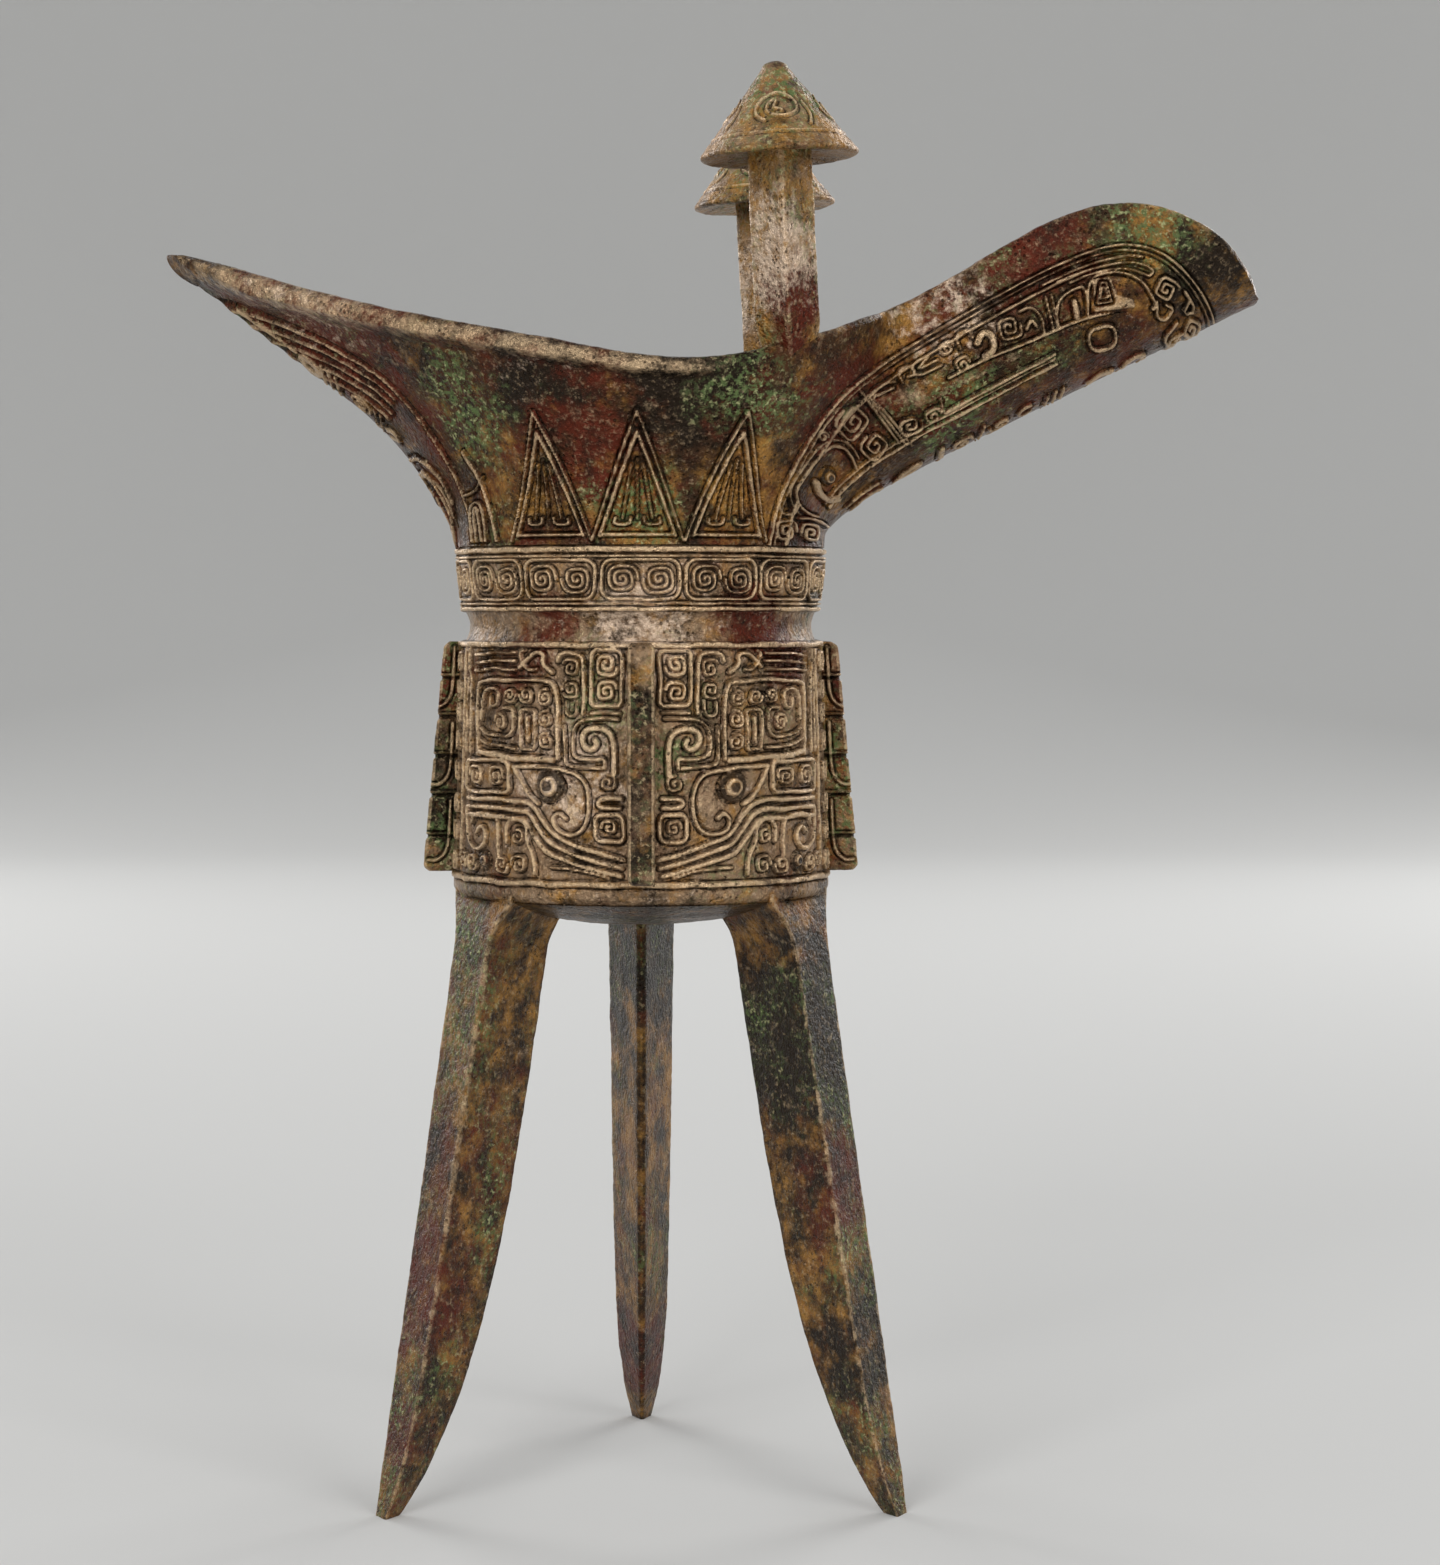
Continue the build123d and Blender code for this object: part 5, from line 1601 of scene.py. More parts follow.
def trough_skin(x, reach, half, inset, rows, lip):
    """Half a trough from keel to rim, its rises and the lip's height per column."""
    keel = keel_rise(x, reach, inset)
    room = np.maximum(rim_rise(x) - keel, TINY)
    lips = np.minimum(lip, LIP_SHARE * room)
    top = keel + room - lips
    fine = np.linspace(0.0, 1.0, TROUGH_POINTS)[:, None]
    rise = keel + (top - keel) * fine**2
    width = half(x, rise, inset)
    run = np.hypot(np.diff(rise, axis=0), np.diff(width, axis=0))
    lengths = np.vstack([np.zeros_like(x), np.cumsum(run, axis=0)]).T
    even = np.linspace(0.0, 1.0, rows)
    share = np.column_stack([np.interp(even * length[-1], length, fine[:, 0]) for length in lengths])
    rise = keel + (top - keel) * share**2
    width = half(x, rise, inset)
    points = np.stack([np.repeat(x[None, :], rows, axis=0), -width, NECK_Z + rise], axis=2)
    return points, rise, lips


def sagged(points):
    """The skin with the tail's underside let down to its raised ornament, and its tip blunted."""
    out = -points[:, :, 0]
    end = -RIM_X[0]
    keel = keel_rise(out, tail_reach, 0.0)
    room = np.maximum(rim_rise(-out) - keel, TINY)
    share = np.clip((points[:, :, 2] - NECK_Z - keel) / room, 0.0, 1.0)
    held = np.clip(out, TAIL_SAG_OUT[0], TAIL_SAG_OUT[-1])
    sag = natural_spline(np.array(TAIL_SAG_OUT), np.array(TAIL_SAG), held)
    past = np.maximum(0.0, out - TAIL_BLUNT_OUT) / (end - TAIL_BLUNT_OUT)
    blunt = np.sqrt(np.maximum(0.0, 1 - past**2))
    sag = np.where(out > TAIL_BLUNT_OUT, np.maximum(0.0, TAIL_BLUNT_DEPTH * blunt - room), sag)
    width = np.maximum(tail_half(-out, rim_rise(-out), 0.0), TINY)
    widen = np.where(out > TAIL_BLUNT_OUT, np.maximum(1.0, TAIL_BLUNT_HALF * blunt / width), 1.0)
    moved = points.copy()
    moved[:, :, 1] *= widen
    moved[:, :, 2] -= sag * (1 - share) ** TAIL_SAG_POWER + TAIL_TIP_DROP * (1 - blunt)
    return moved


def rim_banded(points, wear_and_highlight):
    """The skin with the flat band under the rim, from the tail's tip to the posts, made bright as rubbed
    metal and as a painted highlight.
    """
    x = points[:, :, 0]
    rise = points[:, :, 2] - NECK_Z
    below = rim_rise(x) - rise
    behind = np.minimum(x, 0.0)
    here = tail_half(behind, rise, 0.0)
    room = np.maximum(rim_rise(x) - keel_rise(behind, tail_reach, 0.0), TINY)
    width = np.minimum(np.interp(x, RIM_BAND_X, RIM_BAND), RIM_BAND_SHARE * room)
    share = smooth((width + RIM_BAND_EASE - below) / RIM_BAND_EASE)
    share = share * smooth(here / RIM_BAND_TIP) * smooth((RIM_BAND_END_X - x) / RIM_BAND_END_X)
    moved = points.copy()
    roll = RIM_BAND_ROLL * np.sin(np.clip(below / width, 0.0, 1.0) * math.pi / 2)
    moved[:, :, 1] -= (tail_half(behind, rim_rise(x), 0.0) + roll - here) * share
    # The band is set bright: a painted highlight over rubbed metal
    return moved, wear_and_highlight + (RIM_HIGHLIGHT_AND_WEAR - wear_and_highlight) * share


def lay_trough(node, joint_x, reach, half, grid, draw, casting):
    """Both halves of a trough that runs from a joint out to its tip."""
    columns, rows = grid
    lip_height = casting.lip_height / MM
    crowd = 1 - (1 - np.linspace(0.0, 1.0, columns)) ** TIP_CROWDING
    end = tip_place(joint_x, reach, 0.0)
    inner_end = tip_place(joint_x, reach, MOUTH_WALL)
    x = joint_x + (end - joint_x) * crowd
    inner_x = joint_x + (inner_end - joint_x) * crowd
    if joint_x < 0:
        x = x[::-1]
        inner_x = inner_x[::-1]
    outer, rise, lips = trough_skin(x, reach, half, 0.0, rows, lip_height)
    inner = trough_skin(inner_x, reach, half, MOUTH_WALL, INNER_ROWS, lip_height)[0][::-1]
    relief = draw(np.abs(outer[:, :, 0]), rise, -outer[:, :, 1])
    outer, wear_and_highlight = cast_skin(outer, relief, casting.mouth_relief / MM)
    outer[0, :, 1] = 0.0
    inner[-1, :, 1] = 0.0
    tip = 0 if joint_x < 0 else -1
    outer[:, tip] = outer[:, tip].mean(axis=0)
    inner[:, tip] = inner[:, tip].mean(axis=0)
    outer[:, tip, 1] = 0.0
    inner[:, tip, 1] = 0.0
    lay_halves(node, outer, inner, wear_and_highlight, lips, finish_named("Cup bronze"))


def draw_spout(across, rise, aside):
    """All the ornament of the spout's half."""
    relief = Relief(across, rise, PLAIN)
    draw_spout_field(relief)
    draw_underside(relief.along(across, aside))
    return relief


def draw_tail(across, rise, aside):
    """All the ornament of the tail's half."""
    relief = Relief(across, rise, PLAIN)
    draw_tail_field(relief)
    draw_tail_underside(relief.along(across, aside))
    return relief


class JUE_OT_spout(bpy.types.Operator):
    """Lay the open spout with the creature along its sides"""

    bl_idname = "jue.spout"
    bl_label = "Spout"

    def execute(self, context):
        casting = context.scene.jue_casting
        lay_trough("spout", SPOUT_JOINT_X, spout_reach, spout_half, SPOUT_GRID, draw_spout, casting)
        return {"FINISHED"}


class JUE_OT_tail(bpy.types.Operator):
    """Lay the pointed tail with its long lines"""

    bl_idname = "jue.tail"
    bl_label = "Tail"

    def execute(self, context):
        casting = context.scene.jue_casting
        lay_trough("tail", TAIL_JOINT_X, tail_reach, tail_half, TAIL_GRID, draw_tail, casting)
        return {"FINISHED"}


def softened_ring(corners, radius, bend_steps=BEND_STEPS, side_steps=SIDE_STEPS):
    """A closed path round some corners, each cut round, and how near each point is to an arris."""
    path = []
    near = []
    count = len(corners)
    for i in range(count):
        corner = corners[i]
        back = corners[i - 1] - corner
        ahead = corners[(i + 1) % count] - corner
        start = corner + radius * back / np.linalg.norm(back)
        end = corner + radius * ahead / np.linalg.norm(ahead)
        share = np.linspace(0.0, 1.0, bend_steps)[:, None]
        path.append((1 - share) ** 2 * start + 2 * share * (1 - share) * corner + share**2 * end)
        near.append(np.ones(bend_steps))
        after = corners[(i + 1) % count]
        far = after - radius * ahead / np.linalg.norm(ahead)
        step = np.linspace(0.0, 1.0, side_steps + 2)[1:-1, None]
        path.append(end + (far - end) * step)
        near.append(np.zeros(side_steps))
    path = np.vstack(path)
    near = np.concatenate(near)
    return np.vstack([path, path[:1]]), np.append(near, near[0])


def leg_corners(drop):
    """The leg's section at a share of the way down: distances out from the axis and sideways."""
    shoulder = max(0.0, 1 - CUP_EDGE_Z * drop / SHOULDER_DROP) ** 2
    swell = LEG_SHOULDER * shoulder
    out = EDGE_RADIUS - LEG_SETBACK + LEG_SPLAY * drop + TOE_KICK * drop**KICK_POWER
    depth = TOE_DEPTH + (LEG_DEPTH - TOE_DEPTH) * (1 - drop ** DEPTH_POWERS[0]) ** DEPTH_POWERS[1]
    half = (LEG_HALF_WIDTH - LEG_TAPER * drop) * (1 - TOE_NARROWING * drop**NARROWING_POWER)
    keel = LEG_KEEL_SHARPNESS * KEEL_HALF_WIDTH * half / LEG_HALF_WIDTH + swell
    inside = out - depth - swell
    wide = half + ARRIS_SWEEP * shoulder
    corner = out - (wide**2 - half**2) / (2 * out)
    return np.array([(corner, -wide), (corner, wide), (inside, keel), (inside, -keel)])


def turned(points, degrees):
    """Points turned about the cup's axis."""
    turn = math.radians(degrees)
    x = points[..., 0] * math.cos(turn) - points[..., 1] * math.sin(turn)
    y = points[..., 0] * math.sin(turn) + points[..., 1] * math.cos(turn)
    return np.stack([x, y, points[..., 2]], axis=-1)


class JUE_OT_legs(bpy.types.Operator):
    """Shape one blade-like leg and stand three of them under the drum"""

    bl_idname = "jue.legs"
    bl_label = "Legs"

    def execute(self, context):
        radius = context.scene.jue_casting.arris_radius / MM
        rows = []
        arrises = []
        for drop in np.concatenate([1 - np.linspace(0.0, 1.0, LEG_ROWS) ** LEG_CROWDING, [0.0]]):
            ring, near = softened_ring(leg_corners(drop), radius * (1 - TOE_CRISPNESS * drop))
            z = CUP_EDGE_Z * (1 - drop)
            rows.append(np.column_stack([ring, np.full(len(ring), z)]))
            outer = np.arange(len(near)) < len(near) // 2
            # Outer arrises lighter, as wear and as a painted highlight; the keel's corners darker by the same
            # amount
            arrises.append(PLAIN + near * np.where(outer, ARRIS_WEAR_AND_HIGHLIGHT, -ARRIS_WEAR_AND_HIGHLIGHT))
        rows[-1][:, 2] = CUP_EDGE_Z + LEG_LAP
        points = np.array(rows)
        wear_and_highlight = np.array(arrises)
        for name, angle in LEG_ANGLES.items():
            piece = lay_grid(name + "_cast", turned(points, angle), wear_and_highlight)
            finish_piece(piece, finish_named("Leg bronze"), name)
        return {"FINISHED"}


def draw_flange_blocks(relief):
    """Blocks on a side flange, each pair with a hook: across runs out from the drum, up from the foot."""
    span = FLANGE_TOP_Z - FLANGE_BOTTOM_Z
    stops = np.array((0.0, *FLANGE_NOTCHES, 1.0)) * span
    for low, high in zip(stops[:-2:2], stops[2::2]):
        hook = [(0.7, high - 0.8), (0.8, low + 4.4), (1.2, low + 2.6), (2.4, low + 1.5), (3.6, low + 1.6)]
        relief.bend_line(hook, STRIPE_LINE)
    for height in stops[1:-1]:
        relief.raise_line([(-1.0, height + 0.5), (7.0, height + 0.5)], 0.3, 0.8)
        relief.cut_line([(-1.0, height), (7.0, height)], 0.4, 0.5)


class JUE_OT_flanges(bpy.types.Operator):
    """Shape the front flange and the two side flanges with their hooked blocks"""

    bl_idname = "jue.flanges"
    bl_label = "Flanges"

    def execute(self, context):
        span = FLANGE_TOP_Z - FLANGE_BOTTOM_Z
        notches = np.array(FLANGE_NOTCHES) * span + FLANGE_BOTTOM_Z
        for name, angle in FLANGE_ANGLES.items():
            front = name == "flange_front"
            half = FLANGE_THICKNESS / 2 - (FLANGE_FRONT_THINNING if front else 0.0)
            nick = 0.0 if front else FLANGE_NICK
            rows = []
            out = []
            arris = []
            for z in np.linspace(FLANGE_BOTTOM_Z, FLANGE_TOP_Z, FLANGE_ROWS):
                share = (z - FLANGE_BOTTOM_Z) / span
                notch = float(smooth(FLANGE_NOTCH_EASE - np.abs(notches - z).min() / FLANGE_NOTCH_HALF))
                end = max(0.0, 1 - min(z - FLANGE_BOTTOM_Z, FLANGE_TOP_Z - z) / FLANGE_END)
                reach = FLANGE_BOTTOM_REACH + (FLANGE_TOP_REACH - FLANGE_BOTTOM_REACH) * share - nick * notch
                reach -= FLANGE_END_DROP * end**2
                thick = half - FLANGE_NICK_SHARE * nick * notch - FLANGE_END_THINNING * end**2
                root = drum_radius(z)
                tip = root + reach
                seat = root - FLANGE_SEAT
                corners = np.array([(tip, -thick), (tip, thick), (seat, thick), (seat, -thick)])
                ring, near = softened_ring(corners, FLANGE_SOFTNESS, side_steps=FLANGE_SIDE_STEPS)
                rows.append(np.column_stack([ring, np.full(len(ring), z)]))
                out.append(ring[:, 0] - root)
                arris.append(near)
            points = np.array(rows)
            relief = Relief(np.array(out), points[:, :, 2] - FLANGE_BOTTOM_Z, PLAIN)
            if not front:
                draw_flange_blocks(relief)
            cast = relief.surface()
            flat = np.abs(points[:, :, 1]) > FLANGE_FLAT_SHARE * half
            lift = np.sign(points[:, :, 1]) * (cast - PLAIN) * FLANGE_RELIEF
            points[:, :, 1] += np.where(flat, lift, 0.0)
            # Arrises lighter, as wear and as a painted highlight
            wear_and_highlight = np.clip(np.where(flat, cast, PLAIN) + FLANGE_ARRIS_WEAR_AND_HIGHLIGHT * np.array(arris), 0.0, 1.0)
            piece = lay_grid(name + "_cast", turned(points, angle), wear_and_highlight)
            finish_piece(piece, finish_named("Flange bronze"), name)
        return {"FINISHED"}


def leaning(points, side):
    """Points given about a post's foot, put in place with the post's lean."""
    lean = math.radians(POST_LEAN)
    x = POST_X + points[..., 0] * math.cos(lean) - points[..., 2] * math.sin(lean)
    z = POST_FOOT_Z + points[..., 0] * math.sin(lean) + points[..., 2] * math.cos(lean)
    return np.stack([x, side * POST_Y + points[..., 1], z], axis=-1)


class JUE_OT_posts(bpy.types.Operator):
    """Shape the square posts that stand cornerwise on the rim"""

    bl_idname = "jue.posts"
    bl_label = "Posts"

    def execute(self, context):
        radius = context.scene.jue_casting.arris_radius / MM
        reach = POST_SIDE / math.sqrt(2)
        rows = []
        feet = []
        wear_and_highlight = []
        for height in np.linspace(0.0, POST_LENGTH + POST_LAP, POST_ROWS):
            foot = max(0.0, 1 - height / POST_FOOT_BLEND)
            flat = reach * (1 - POST_FOOT_FLATTENING * foot**POST_FLAT_POWER)
            wide = reach * (1 - POST_FOOT_FLATTENING * foot**POST_WIDE_POWER)
            corners = np.array([(wide, 0.0), (0.0, flat), (-wide, 0.0), (0.0, -flat)])
            ring, near = softened_ring(corners, radius)
            rows.append(np.column_stack([ring, np.full(len(ring), height)]))
            feet.append(np.full(len(ring), POST_FOOT_SHIFT * (1 - min(1.0, height / POST_LENGTH))))
            # Arrises lighter, as wear and as a painted highlight
            wear_and_highlight.append(PLAIN + POST_ARRIS_WEAR_AND_HIGHLIGHT * near)
        points = np.array(rows)
        for name, side in POST_SIDES.items():
            placed = leaning(points, side)
            placed[:, :, 1] -= side * np.array(feet)
            piece = lay_grid(f"post_{name}_cast", placed, np.array(wear_and_highlight))
            finish_piece(piece, finish_named("Cap bronze"), f"post_{name}")
        return {"FINISHED"}


class JUE_OT_caps(bpy.types.Operator):
    """Turn the conical caps with their whorls"""

    bl_idname = "jue.caps"
    bl_label = "Caps"

    def execute(self, context):
        height = context.scene.jue_casting.cap_relief / MM
        share = np.linspace(0.0, 1.0, CAP_CONE_ROWS)
        foot = CAP_RADIUS - CAP_CONE_INSET
        tip_z = CAP_HEIGHT - CAP_TIP_HEIGHT
        cone = np.column_stack([foot + (CAP_TIP_RADIUS - foot) * share,
                                CAP_CONE_START + (tip_z - CAP_CONE_START) * share])
        turn = np.linspace(0.0, math.pi / 2, CAP_TIP_ROWS)[1:]
        tip = np.column_stack([CAP_TIP_RADIUS * np.cos(turn), tip_z + CAP_TIP_HEIGHT * np.sin(turn)])
        out = np.linspace(0.0, 1.0, CAP_UNDER_ROWS)
        under = np.column_stack([out * (CAP_RADIUS - CAP_UNDER_INSET), CAP_HOLLOW * (1 - out**2)])
        turn = np.linspace(*CAP_EDGE_TURNS, CAP_EDGE_ROWS) * math.pi / 2
        brim = np.column_stack([CAP_RADIUS - CAP_EDGE_RADIUS * (1 - np.cos(turn)),
                                CAP_EDGE_RADIUS * (1 + np.sin(turn))])
        profile = np.vstack([under, brim, cone, tip])
        slant = np.hypot(CAP_RADIUS - CAP_TIP_RADIUS, CAP_HEIGHT - CAP_BRIM)
        around = 2 * math.pi * (CAP_RADIUS + CAP_TIP_RADIUS) / 2
        across, up = np.meshgrid(np.linspace(0.0, around, CAP_COLUMNS + 1), share * slant)
        drawing = Relief(across, up, PLAIN)
        draw_whorls(drawing, around)
        heights = np.full((len(profile), CAP_COLUMNS + 1), PLAIN)
        first = len(under) + len(brim)
        heights[first : first + CAP_CONE_ROWS] = drawing.surface()
        for name, side in POST_SIDES.items():

            def place(points):
                raised = points.copy()
                raised[:, :, 2] += (heights - PLAIN) * height + POST_LENGTH
                return leaning(raised, side)

            piece = revolve(f"cap_{name}_cast", profile, CAP_COLUMNS, heights, place)
            finish_piece(piece, finish_named("Cap bronze"), f"cap_{name}")
        return {"FINISHED"}


def tube(name, path, widths, heights, side_axis, draw=None):
    """A bar along a path, with a rounded section that is widths wide along side_axis and heights deep.

    Where draw is given, it draws relief on the face that looks away from the path's bend.
    """
    path = np.asarray(path, float)
    along = np.gradient(path, axis=0)
    along /= np.linalg.norm(along, axis=1, keepdims=True)
    side = np.asarray(side_axis, float)
    rounding = BAR_ROUNDING if draw is None else STRAP_ROUNDING
    side_steps = BAR_SIDE_STEPS if draw is None else STRAP_SIDE_STEPS
    rows = []
    outward = []
    places = []
    for point, direction, width, height in zip(path, along, widths, heights):
        upward = np.cross(direction, side)
        upward /= np.linalg.norm(upward)
        across = np.cross(upward, direction)
        half = width / 2
        rise = height / 2
        corners = np.array([(half, -rise), (half, rise), (-half, rise), (-half, -rise)])
        ring = softened_ring(corners, rounding * min(width, height), BAR_BEND_STEPS, side_steps)[0]
        rows.append(point + ring[:, :1] * across + ring[:, 1:] * upward)
        outward.append(np.where(ring[:, 1:] < STRAP_SLACK - rise, -upward, 0.0))
        places.append(ring[:, 0])
    points = np.array(rows)
    if draw is None:
        return lay_grid(name, points, np.full(points.shape[:2], PLAIN))
    run = np.append(0.0, np.cumsum(np.linalg.norm(np.diff(path, axis=0), axis=1)))
    relief = Relief(np.array(places), np.repeat(run[:, None], points.shape[1], axis=1), GROUND)
    draw(relief, run[-1])
    outward = np.array(outward)
    drawn = np.abs(outward).sum(axis=2) > 0
    height = (relief.surface() - PLAIN) * STRAP_RELIEF
    points += outward * height[:, :, None]
    return lay_grid(name, points, np.where(drawn, relief.wear(), PLAIN))


def draw_strap(relief, length):
    """Two raised borders along the strap and a chain of curls between them."""
    for side in (-1, 1):
        relief.raise_line([(side * STRAP_EDGE, -1.0), (side * STRAP_EDGE, length + 1.0)], LINE)
    for start in np.arange(STRAP_PITCH, length - STRAP_PITCH, STRAP_PITCH):
        relief.raise_line(curl((-0.85, start + 1.4), 1.1, 1.3, 90, 1, 3.4), FINE_LINE)
        relief.raise_line(curl((0.85, start + 3.9), 1.1, 1.3, 270, 1, 3.4), FINE_LINE)
        relief.raise_line([(-STRAP_EDGE, start - 0.1), (STRAP_EDGE, start - 0.1)], FINE_LINE)


def bead(name, centre, radius):
    """A small ball of the head's modelling, rubbed bright."""
    bpy.ops.object.select_all(action="DESELECT")
    place = tuple(value * MM for value in centre)
    bpy.ops.mesh.primitive_uv_sphere_add(segments=BEAD_SEGMENTS, ring_count=BEAD_RINGS, radius=radius * MM,
                                         location=place)
    piece = bpy.context.object
    piece.name = name
    piece.data.name = name
    bpy.ops.object.transform_apply(location=True)
    shine = piece.data.attributes.new("relief", "FLOAT", "POINT")
    shine.data.foreach_set("value", np.full(len(piece.data.vertices), RIM_HIGHLIGHT_AND_WEAR))
    bpy.ops.object.shade_smooth()
    return piece


def snout(share, narrowing, run, blunting, tip):
    """How the head's width or depth shrinks along it, and is blunted at its tip."""
    narrowed = 1 - narrowing * smooth(share * run - SNOUT_START)
    return narrowed * (1 - blunting * np.maximum(0.0, share - tip) / (1 - tip))


def on_head(place, side):
    """A place on one side of the head, given from its back on the handle's top."""
    return side * place[0], HEAD_BACK_Y + place[1], HANDLE_TOP_Z + place[2]


def lay_head(skin):
    """The horned head: skull, nose ridge, horns, brows, eyes and nostrils."""
    share = np.linspace(0.0, 1.0, HEAD_POINTS)
    width = HEAD_WIDTH * snout(share, *SNOUT_WIDTH)
    depth = HEAD_HEIGHT * snout(share, *SNOUT_DEPTH)
    middle = np.zeros(HEAD_POINTS)
    forward = HEAD_BACK_Y + HEAD_LENGTH * share
    path = np.column_stack([middle, forward, HANDLE_TOP_Z + depth / 2 - SKULL_SINK])
    finish_piece(tube("head_skull", path, width, depth, CROSSWISE), skin, "handle_head")
    nose = np.column_stack([middle, forward, HANDLE_TOP_Z + depth - NOSE_SINK])[slice(*NOSE_SPAN)]
    count = len(nose)
    ridge = tube("head_nose", nose, np.full(count, NOSE_WIDTH), np.full(count, NOSE_HEIGHT), CROSSWISE)
    finish_piece(ridge, skin, "handle_head")
    sweep = np.linspace(0.0, 1.0, HORN_POINTS)
    angle = math.radians(HORN_SWEEP) * sweep
    for name, side in (("left", -1), ("right", 1)):
        horn = np.column_stack([
            side * (HORN_ROOT[0] + HORN_SWING[0] * np.sin(angle * HORN_RATES[0])),
            HEAD_BACK_Y + HORN_ROOT[1] + HORN_SWING[1] * (1 - np.cos(angle)),
            HANDLE_TOP_Z + HEAD_HEIGHT + HORN_ROOT[2] + HORN_SWING[2] * np.sin(angle * HORN_RATES[1]),
        ])
        thick = HORN_THICKNESS * (1 - HORN_TAPER * sweep)
        finish_piece(tube(f"head_horn_{name}", horn, thick, thick, LENGTHWISE), skin, "handle_head")
        brow = np.column_stack([
            side * (BROW_ROOT[0] + BROW_RUN[0] * sweep),
            HEAD_BACK_Y + BROW_ROOT[1] + BROW_RUN[1] * sweep**2,
            HANDLE_TOP_Z + BROW_ROOT[2] + BROW_RUN[2] * sweep**2,
        ])
        thick = BROW_THICKNESS - BROW_TAPER * sweep
        finish_piece(tube(f"head_brow_{name}", brow, thick, thick, LENGTHWISE), skin, "handle_head")
        eye = bead(f"head_eye_{name}", on_head(EYE_PLACE, side), EYE_RADIUS)
        finish_piece(eye, skin, "handle_head")
        nostril = bead(f"head_nostril_{name}", on_head(NOSTRIL_PLACE, side), NOSTRIL_RADIUS)
        finish_piece(nostril, skin, "handle_head")


class JUE_OT_handle(bpy.types.Operator):
    """Bend the strap handle and model the horned head on its shoulder"""

    bl_idname = "jue.handle"
    bl_label = "Handle"

    def execute(self, context):
        skin = finish_named("Belly bronze")
        inner_y = BELLY_TOP_RADIUS - HANDLE_SEAT
        outer_y = HANDLE_OUT_Y - HANDLE_THICKNESS / 2
        top_z = HANDLE_TOP_Z - HANDLE_THICKNESS / 2
        bottom_z = HANDLE_BOTTOM_Z + HANDLE_THICKNESS / 2
        bend = HANDLE_CORNER - HANDLE_THICKNESS / 2
        bend_y = outer_y - bend
        turn = np.linspace(0.0, math.pi / 2, HANDLE_POINTS)
        run = np.linspace(inner_y, bend_y, HANDLE_POINTS, endpoint=False)
        drop = np.linspace(top_z - bend, bottom_z + bend, GRIP_POINTS)[1:-1]
        start = np.column_stack([run, np.full_like(run, top_z)])
        upper = np.column_stack([bend_y + bend * np.sin(turn), top_z - bend + bend * np.cos(turn)])
        middle = np.column_stack([np.full_like(drop, outer_y), drop])
        lower = np.column_stack([bend_y + bend * np.cos(turn), bottom_z + bend - bend * np.sin(turn)])
        end = np.column_stack([run[::-1], np.full_like(run, bottom_z)])
        flat = np.vstack([start, upper, middle, lower, end])
        path = np.column_stack([np.zeros(len(flat)), flat])
        widths = np.full(len(path), HANDLE_WIDTH)
        depths = np.full(len(path), HANDLE_THICKNESS)
        strap = tube("handle_strap", path, widths, depths, CROSSWISE, draw_strap)
        finish_piece(strap, skin, "handle")
        lay_head(skin)
        return {"FINISHED"}


def select_faces(piece, wanted):
    """Opens a piece for editing with only the faces selected whose centres are wanted."""
    bpy.ops.object.mode_set(mode="EDIT")
    bpy.ops.mesh.select_mode(type="FACE")
    bpy.ops.mesh.select_all(action="DESELECT")
    bpy.ops.object.mode_set(mode="OBJECT")
    for face in piece.data.polygons:
        face.select = wanted(face.center)
    bpy.ops.object.mode_set(mode="EDIT")


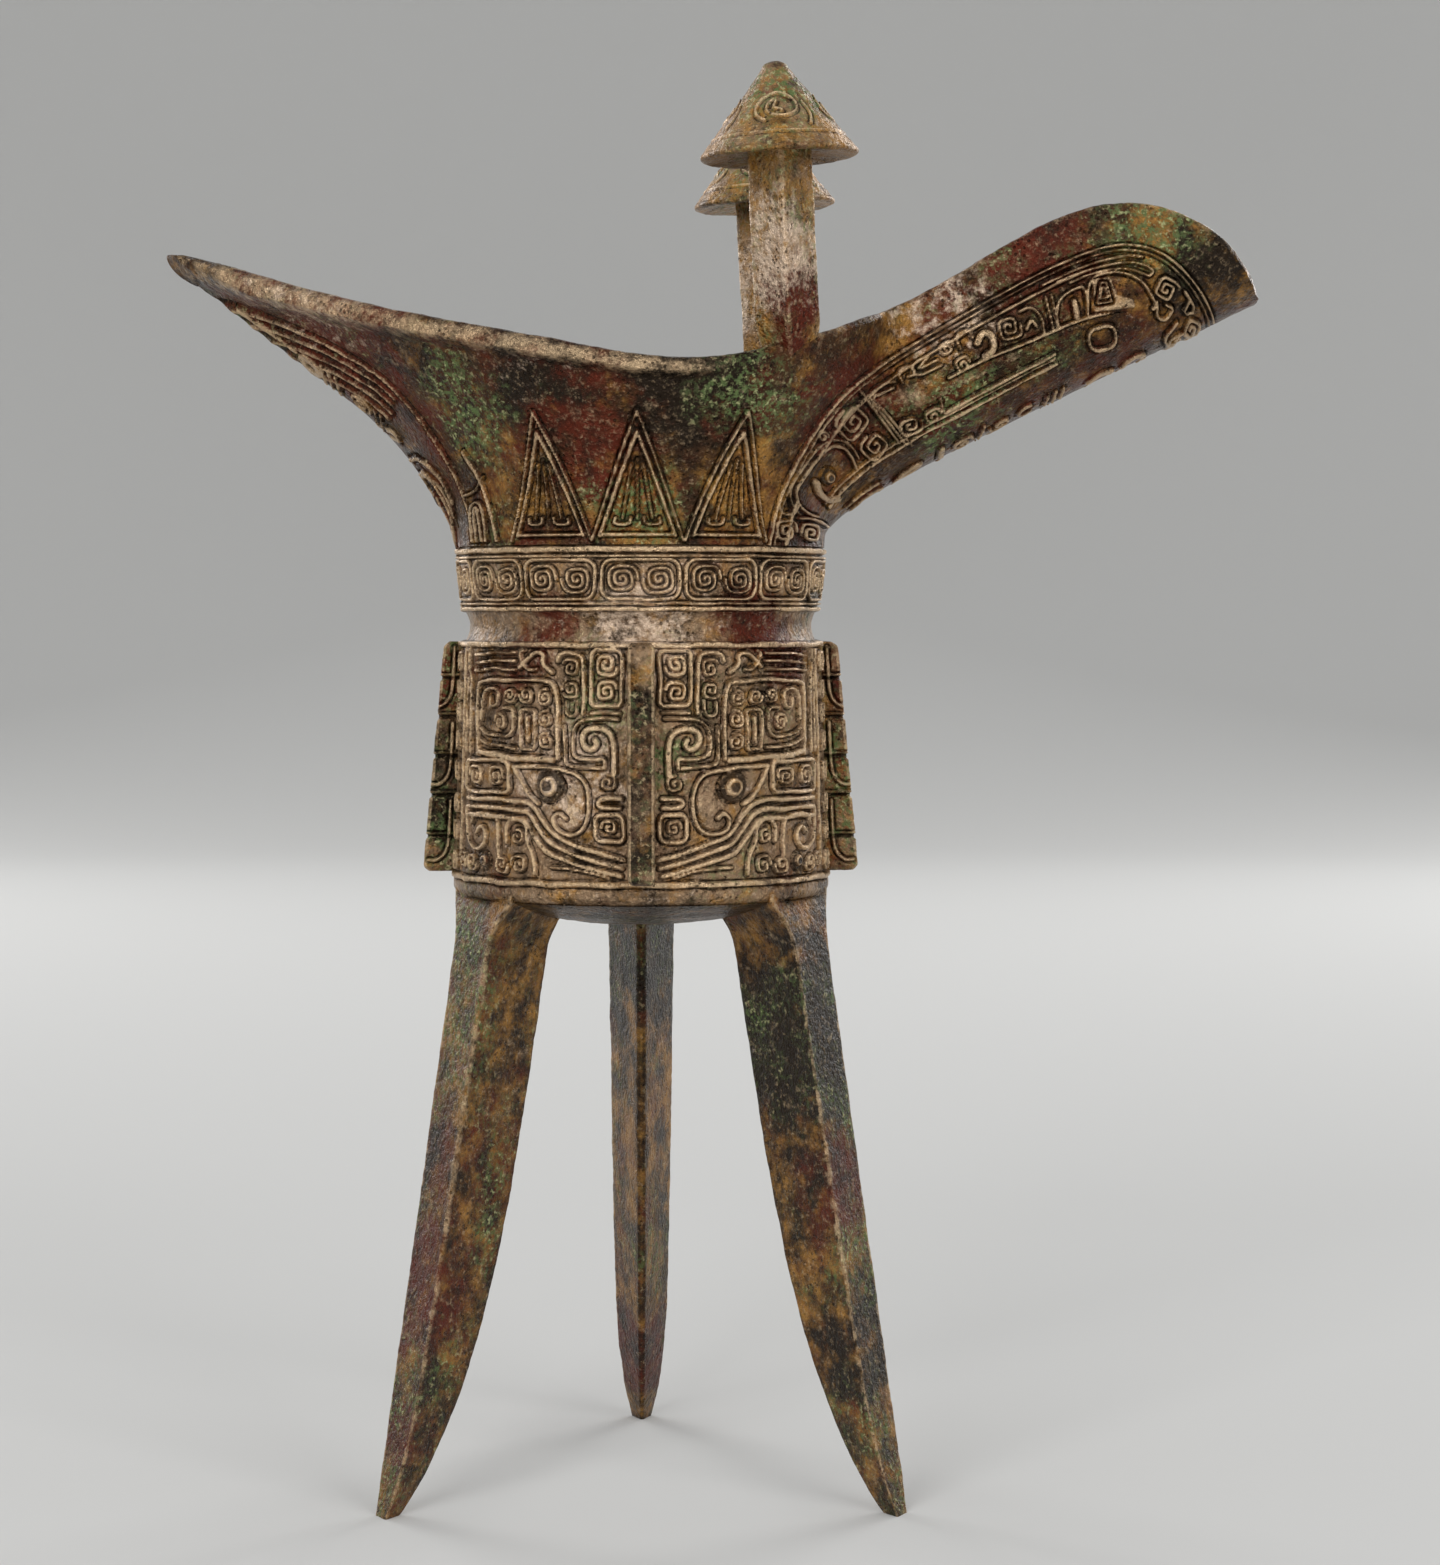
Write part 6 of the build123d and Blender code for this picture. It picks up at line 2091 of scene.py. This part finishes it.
class JUE_OT_stage(bpy.types.Operator):
    """Set the floor, the soft lamps and the camera"""

    bl_idname = "jue.stage"
    bl_label = "Stage"

    def execute(self, context):
        scene = context.scene
        scene.view_settings.view_transform = "Standard"
        bpy.ops.object.select_all(action="DESELECT")
        middle_z = FLOOR_HEIGHT / 2
        bpy.ops.mesh.primitive_cylinder_add(vertices=FLOOR_SIDES, radius=FLOOR_RADIUS, depth=FLOOR_HEIGHT,
                                            location=(0.0, 0.0, middle_z))
        floor = context.object
        floor.name = "floor"
        bpy.ops.object.transform_apply(location=True)
        select_faces(floor, lambda centre: centre.z > middle_z + FACE_SLACK)
        bpy.ops.mesh.delete(type="FACE")
        bpy.ops.object.mode_set(mode="OBJECT")
        select_faces(floor, lambda centre: centre.z < middle_z - FACE_SLACK)
        bpy.ops.mesh.bevel(offset=FLOOR_SWEEP, segments=FLOOR_SWEEP_STEPS, affect="EDGES")
        bpy.ops.object.mode_set(mode="OBJECT")
        bpy.ops.object.shade_smooth_by_angle(angle=math.radians(FLOOR_SMOOTH_ANGLE))
        pale = bpy.data.materials.new("Pale floor")
        pale.use_nodes = True
        shader = pale.node_tree.nodes["Principled BSDF"]
        shader.inputs["Base Color"].default_value = scene.jue_patina.floor
        shader.inputs["Roughness"].default_value = FLOOR_ROUGHNESS
        floor.data.materials.append(pale)

        world = bpy.data.worlds.new("Soft studio")
        world.use_nodes = True
        back = world.node_tree.nodes["Background"]
        back.inputs["Color"].default_value = WORLD_COLOUR
        back.inputs["Strength"].default_value = WORLD_STRENGTH
        scene.world = world
        for name, place, power in LAMPS:
            bpy.ops.object.light_add(type="AREA", location=place)
            lamp = context.object
            lamp.name = name
            lamp.data.size = LAMP_SIZE
            lamp.data.energy = power
            aim = -lamp.location
            aim.z += LAMP_AIM_Z
            lamp.rotation_euler = aim.to_track_quat("-Z", "Y").to_euler()

        bpy.ops.object.camera_add(location=CAMERA_PLACE)
        camera = context.object
        camera.rotation_euler = (math.radians(90 - CAMERA_DIP), 0.0, math.radians(-CAMERA_TURN))
        camera.data.sensor_width = CAMERA_SENSOR
        camera.data.lens = CAMERA_LENS
        camera.data.clip_start = CAMERA_CLIP
        scene.camera = camera
        return {"FINISHED"}


class JUE_PT_pieces(bpy.types.Panel):
    """The cup's pieces, sizes and colours"""

    bl_idname = "JUE_PT_pieces"
    bl_label = "Bronze jue"
    bl_space_type = "VIEW_3D"
    bl_region_type = "UI"
    bl_category = "Jue"

    def draw(self, context):
        for group in (context.scene.jue_casting, context.scene.jue_patina):
            for name in group.__annotations__:
                self.layout.prop(group, name)
        for step in STEPS:
            self.layout.operator(step.bl_idname)


STEPS = (JUE_OT_finishes, JUE_OT_belly, JUE_OT_rings, JUE_OT_mouth, JUE_OT_spout, JUE_OT_tail, JUE_OT_legs,
         JUE_OT_flanges, JUE_OT_posts, JUE_OT_caps, JUE_OT_handle, JUE_OT_stage)
CLASSES = (JueCasting, JuePatina, *STEPS, JUE_PT_pieces)


def register():
    """Adds the classes and the scene's settings."""
    for made in CLASSES:
        bpy.utils.register_class(made)
    bpy.types.Scene.jue_casting = bpy.props.PointerProperty(type=JueCasting)
    bpy.types.Scene.jue_patina = bpy.props.PointerProperty(type=JuePatina)


def unregister():
    """Takes the scene's settings and the classes away."""
    del bpy.types.Scene.jue_patina
    del bpy.types.Scene.jue_casting
    for made in reversed(CLASSES):
        bpy.utils.unregister_class(made)


def main():
    """Makes every piece in order."""
    register()
    bpy.ops.jue.finishes()
    bpy.ops.jue.belly()
    bpy.ops.jue.rings()
    bpy.ops.jue.mouth()
    bpy.ops.jue.spout()
    bpy.ops.jue.tail()
    bpy.ops.jue.legs()
    bpy.ops.jue.flanges()
    bpy.ops.jue.posts()
    bpy.ops.jue.caps()
    bpy.ops.jue.handle()
    bpy.ops.jue.stage()


if __name__ == "__main__":
    main()
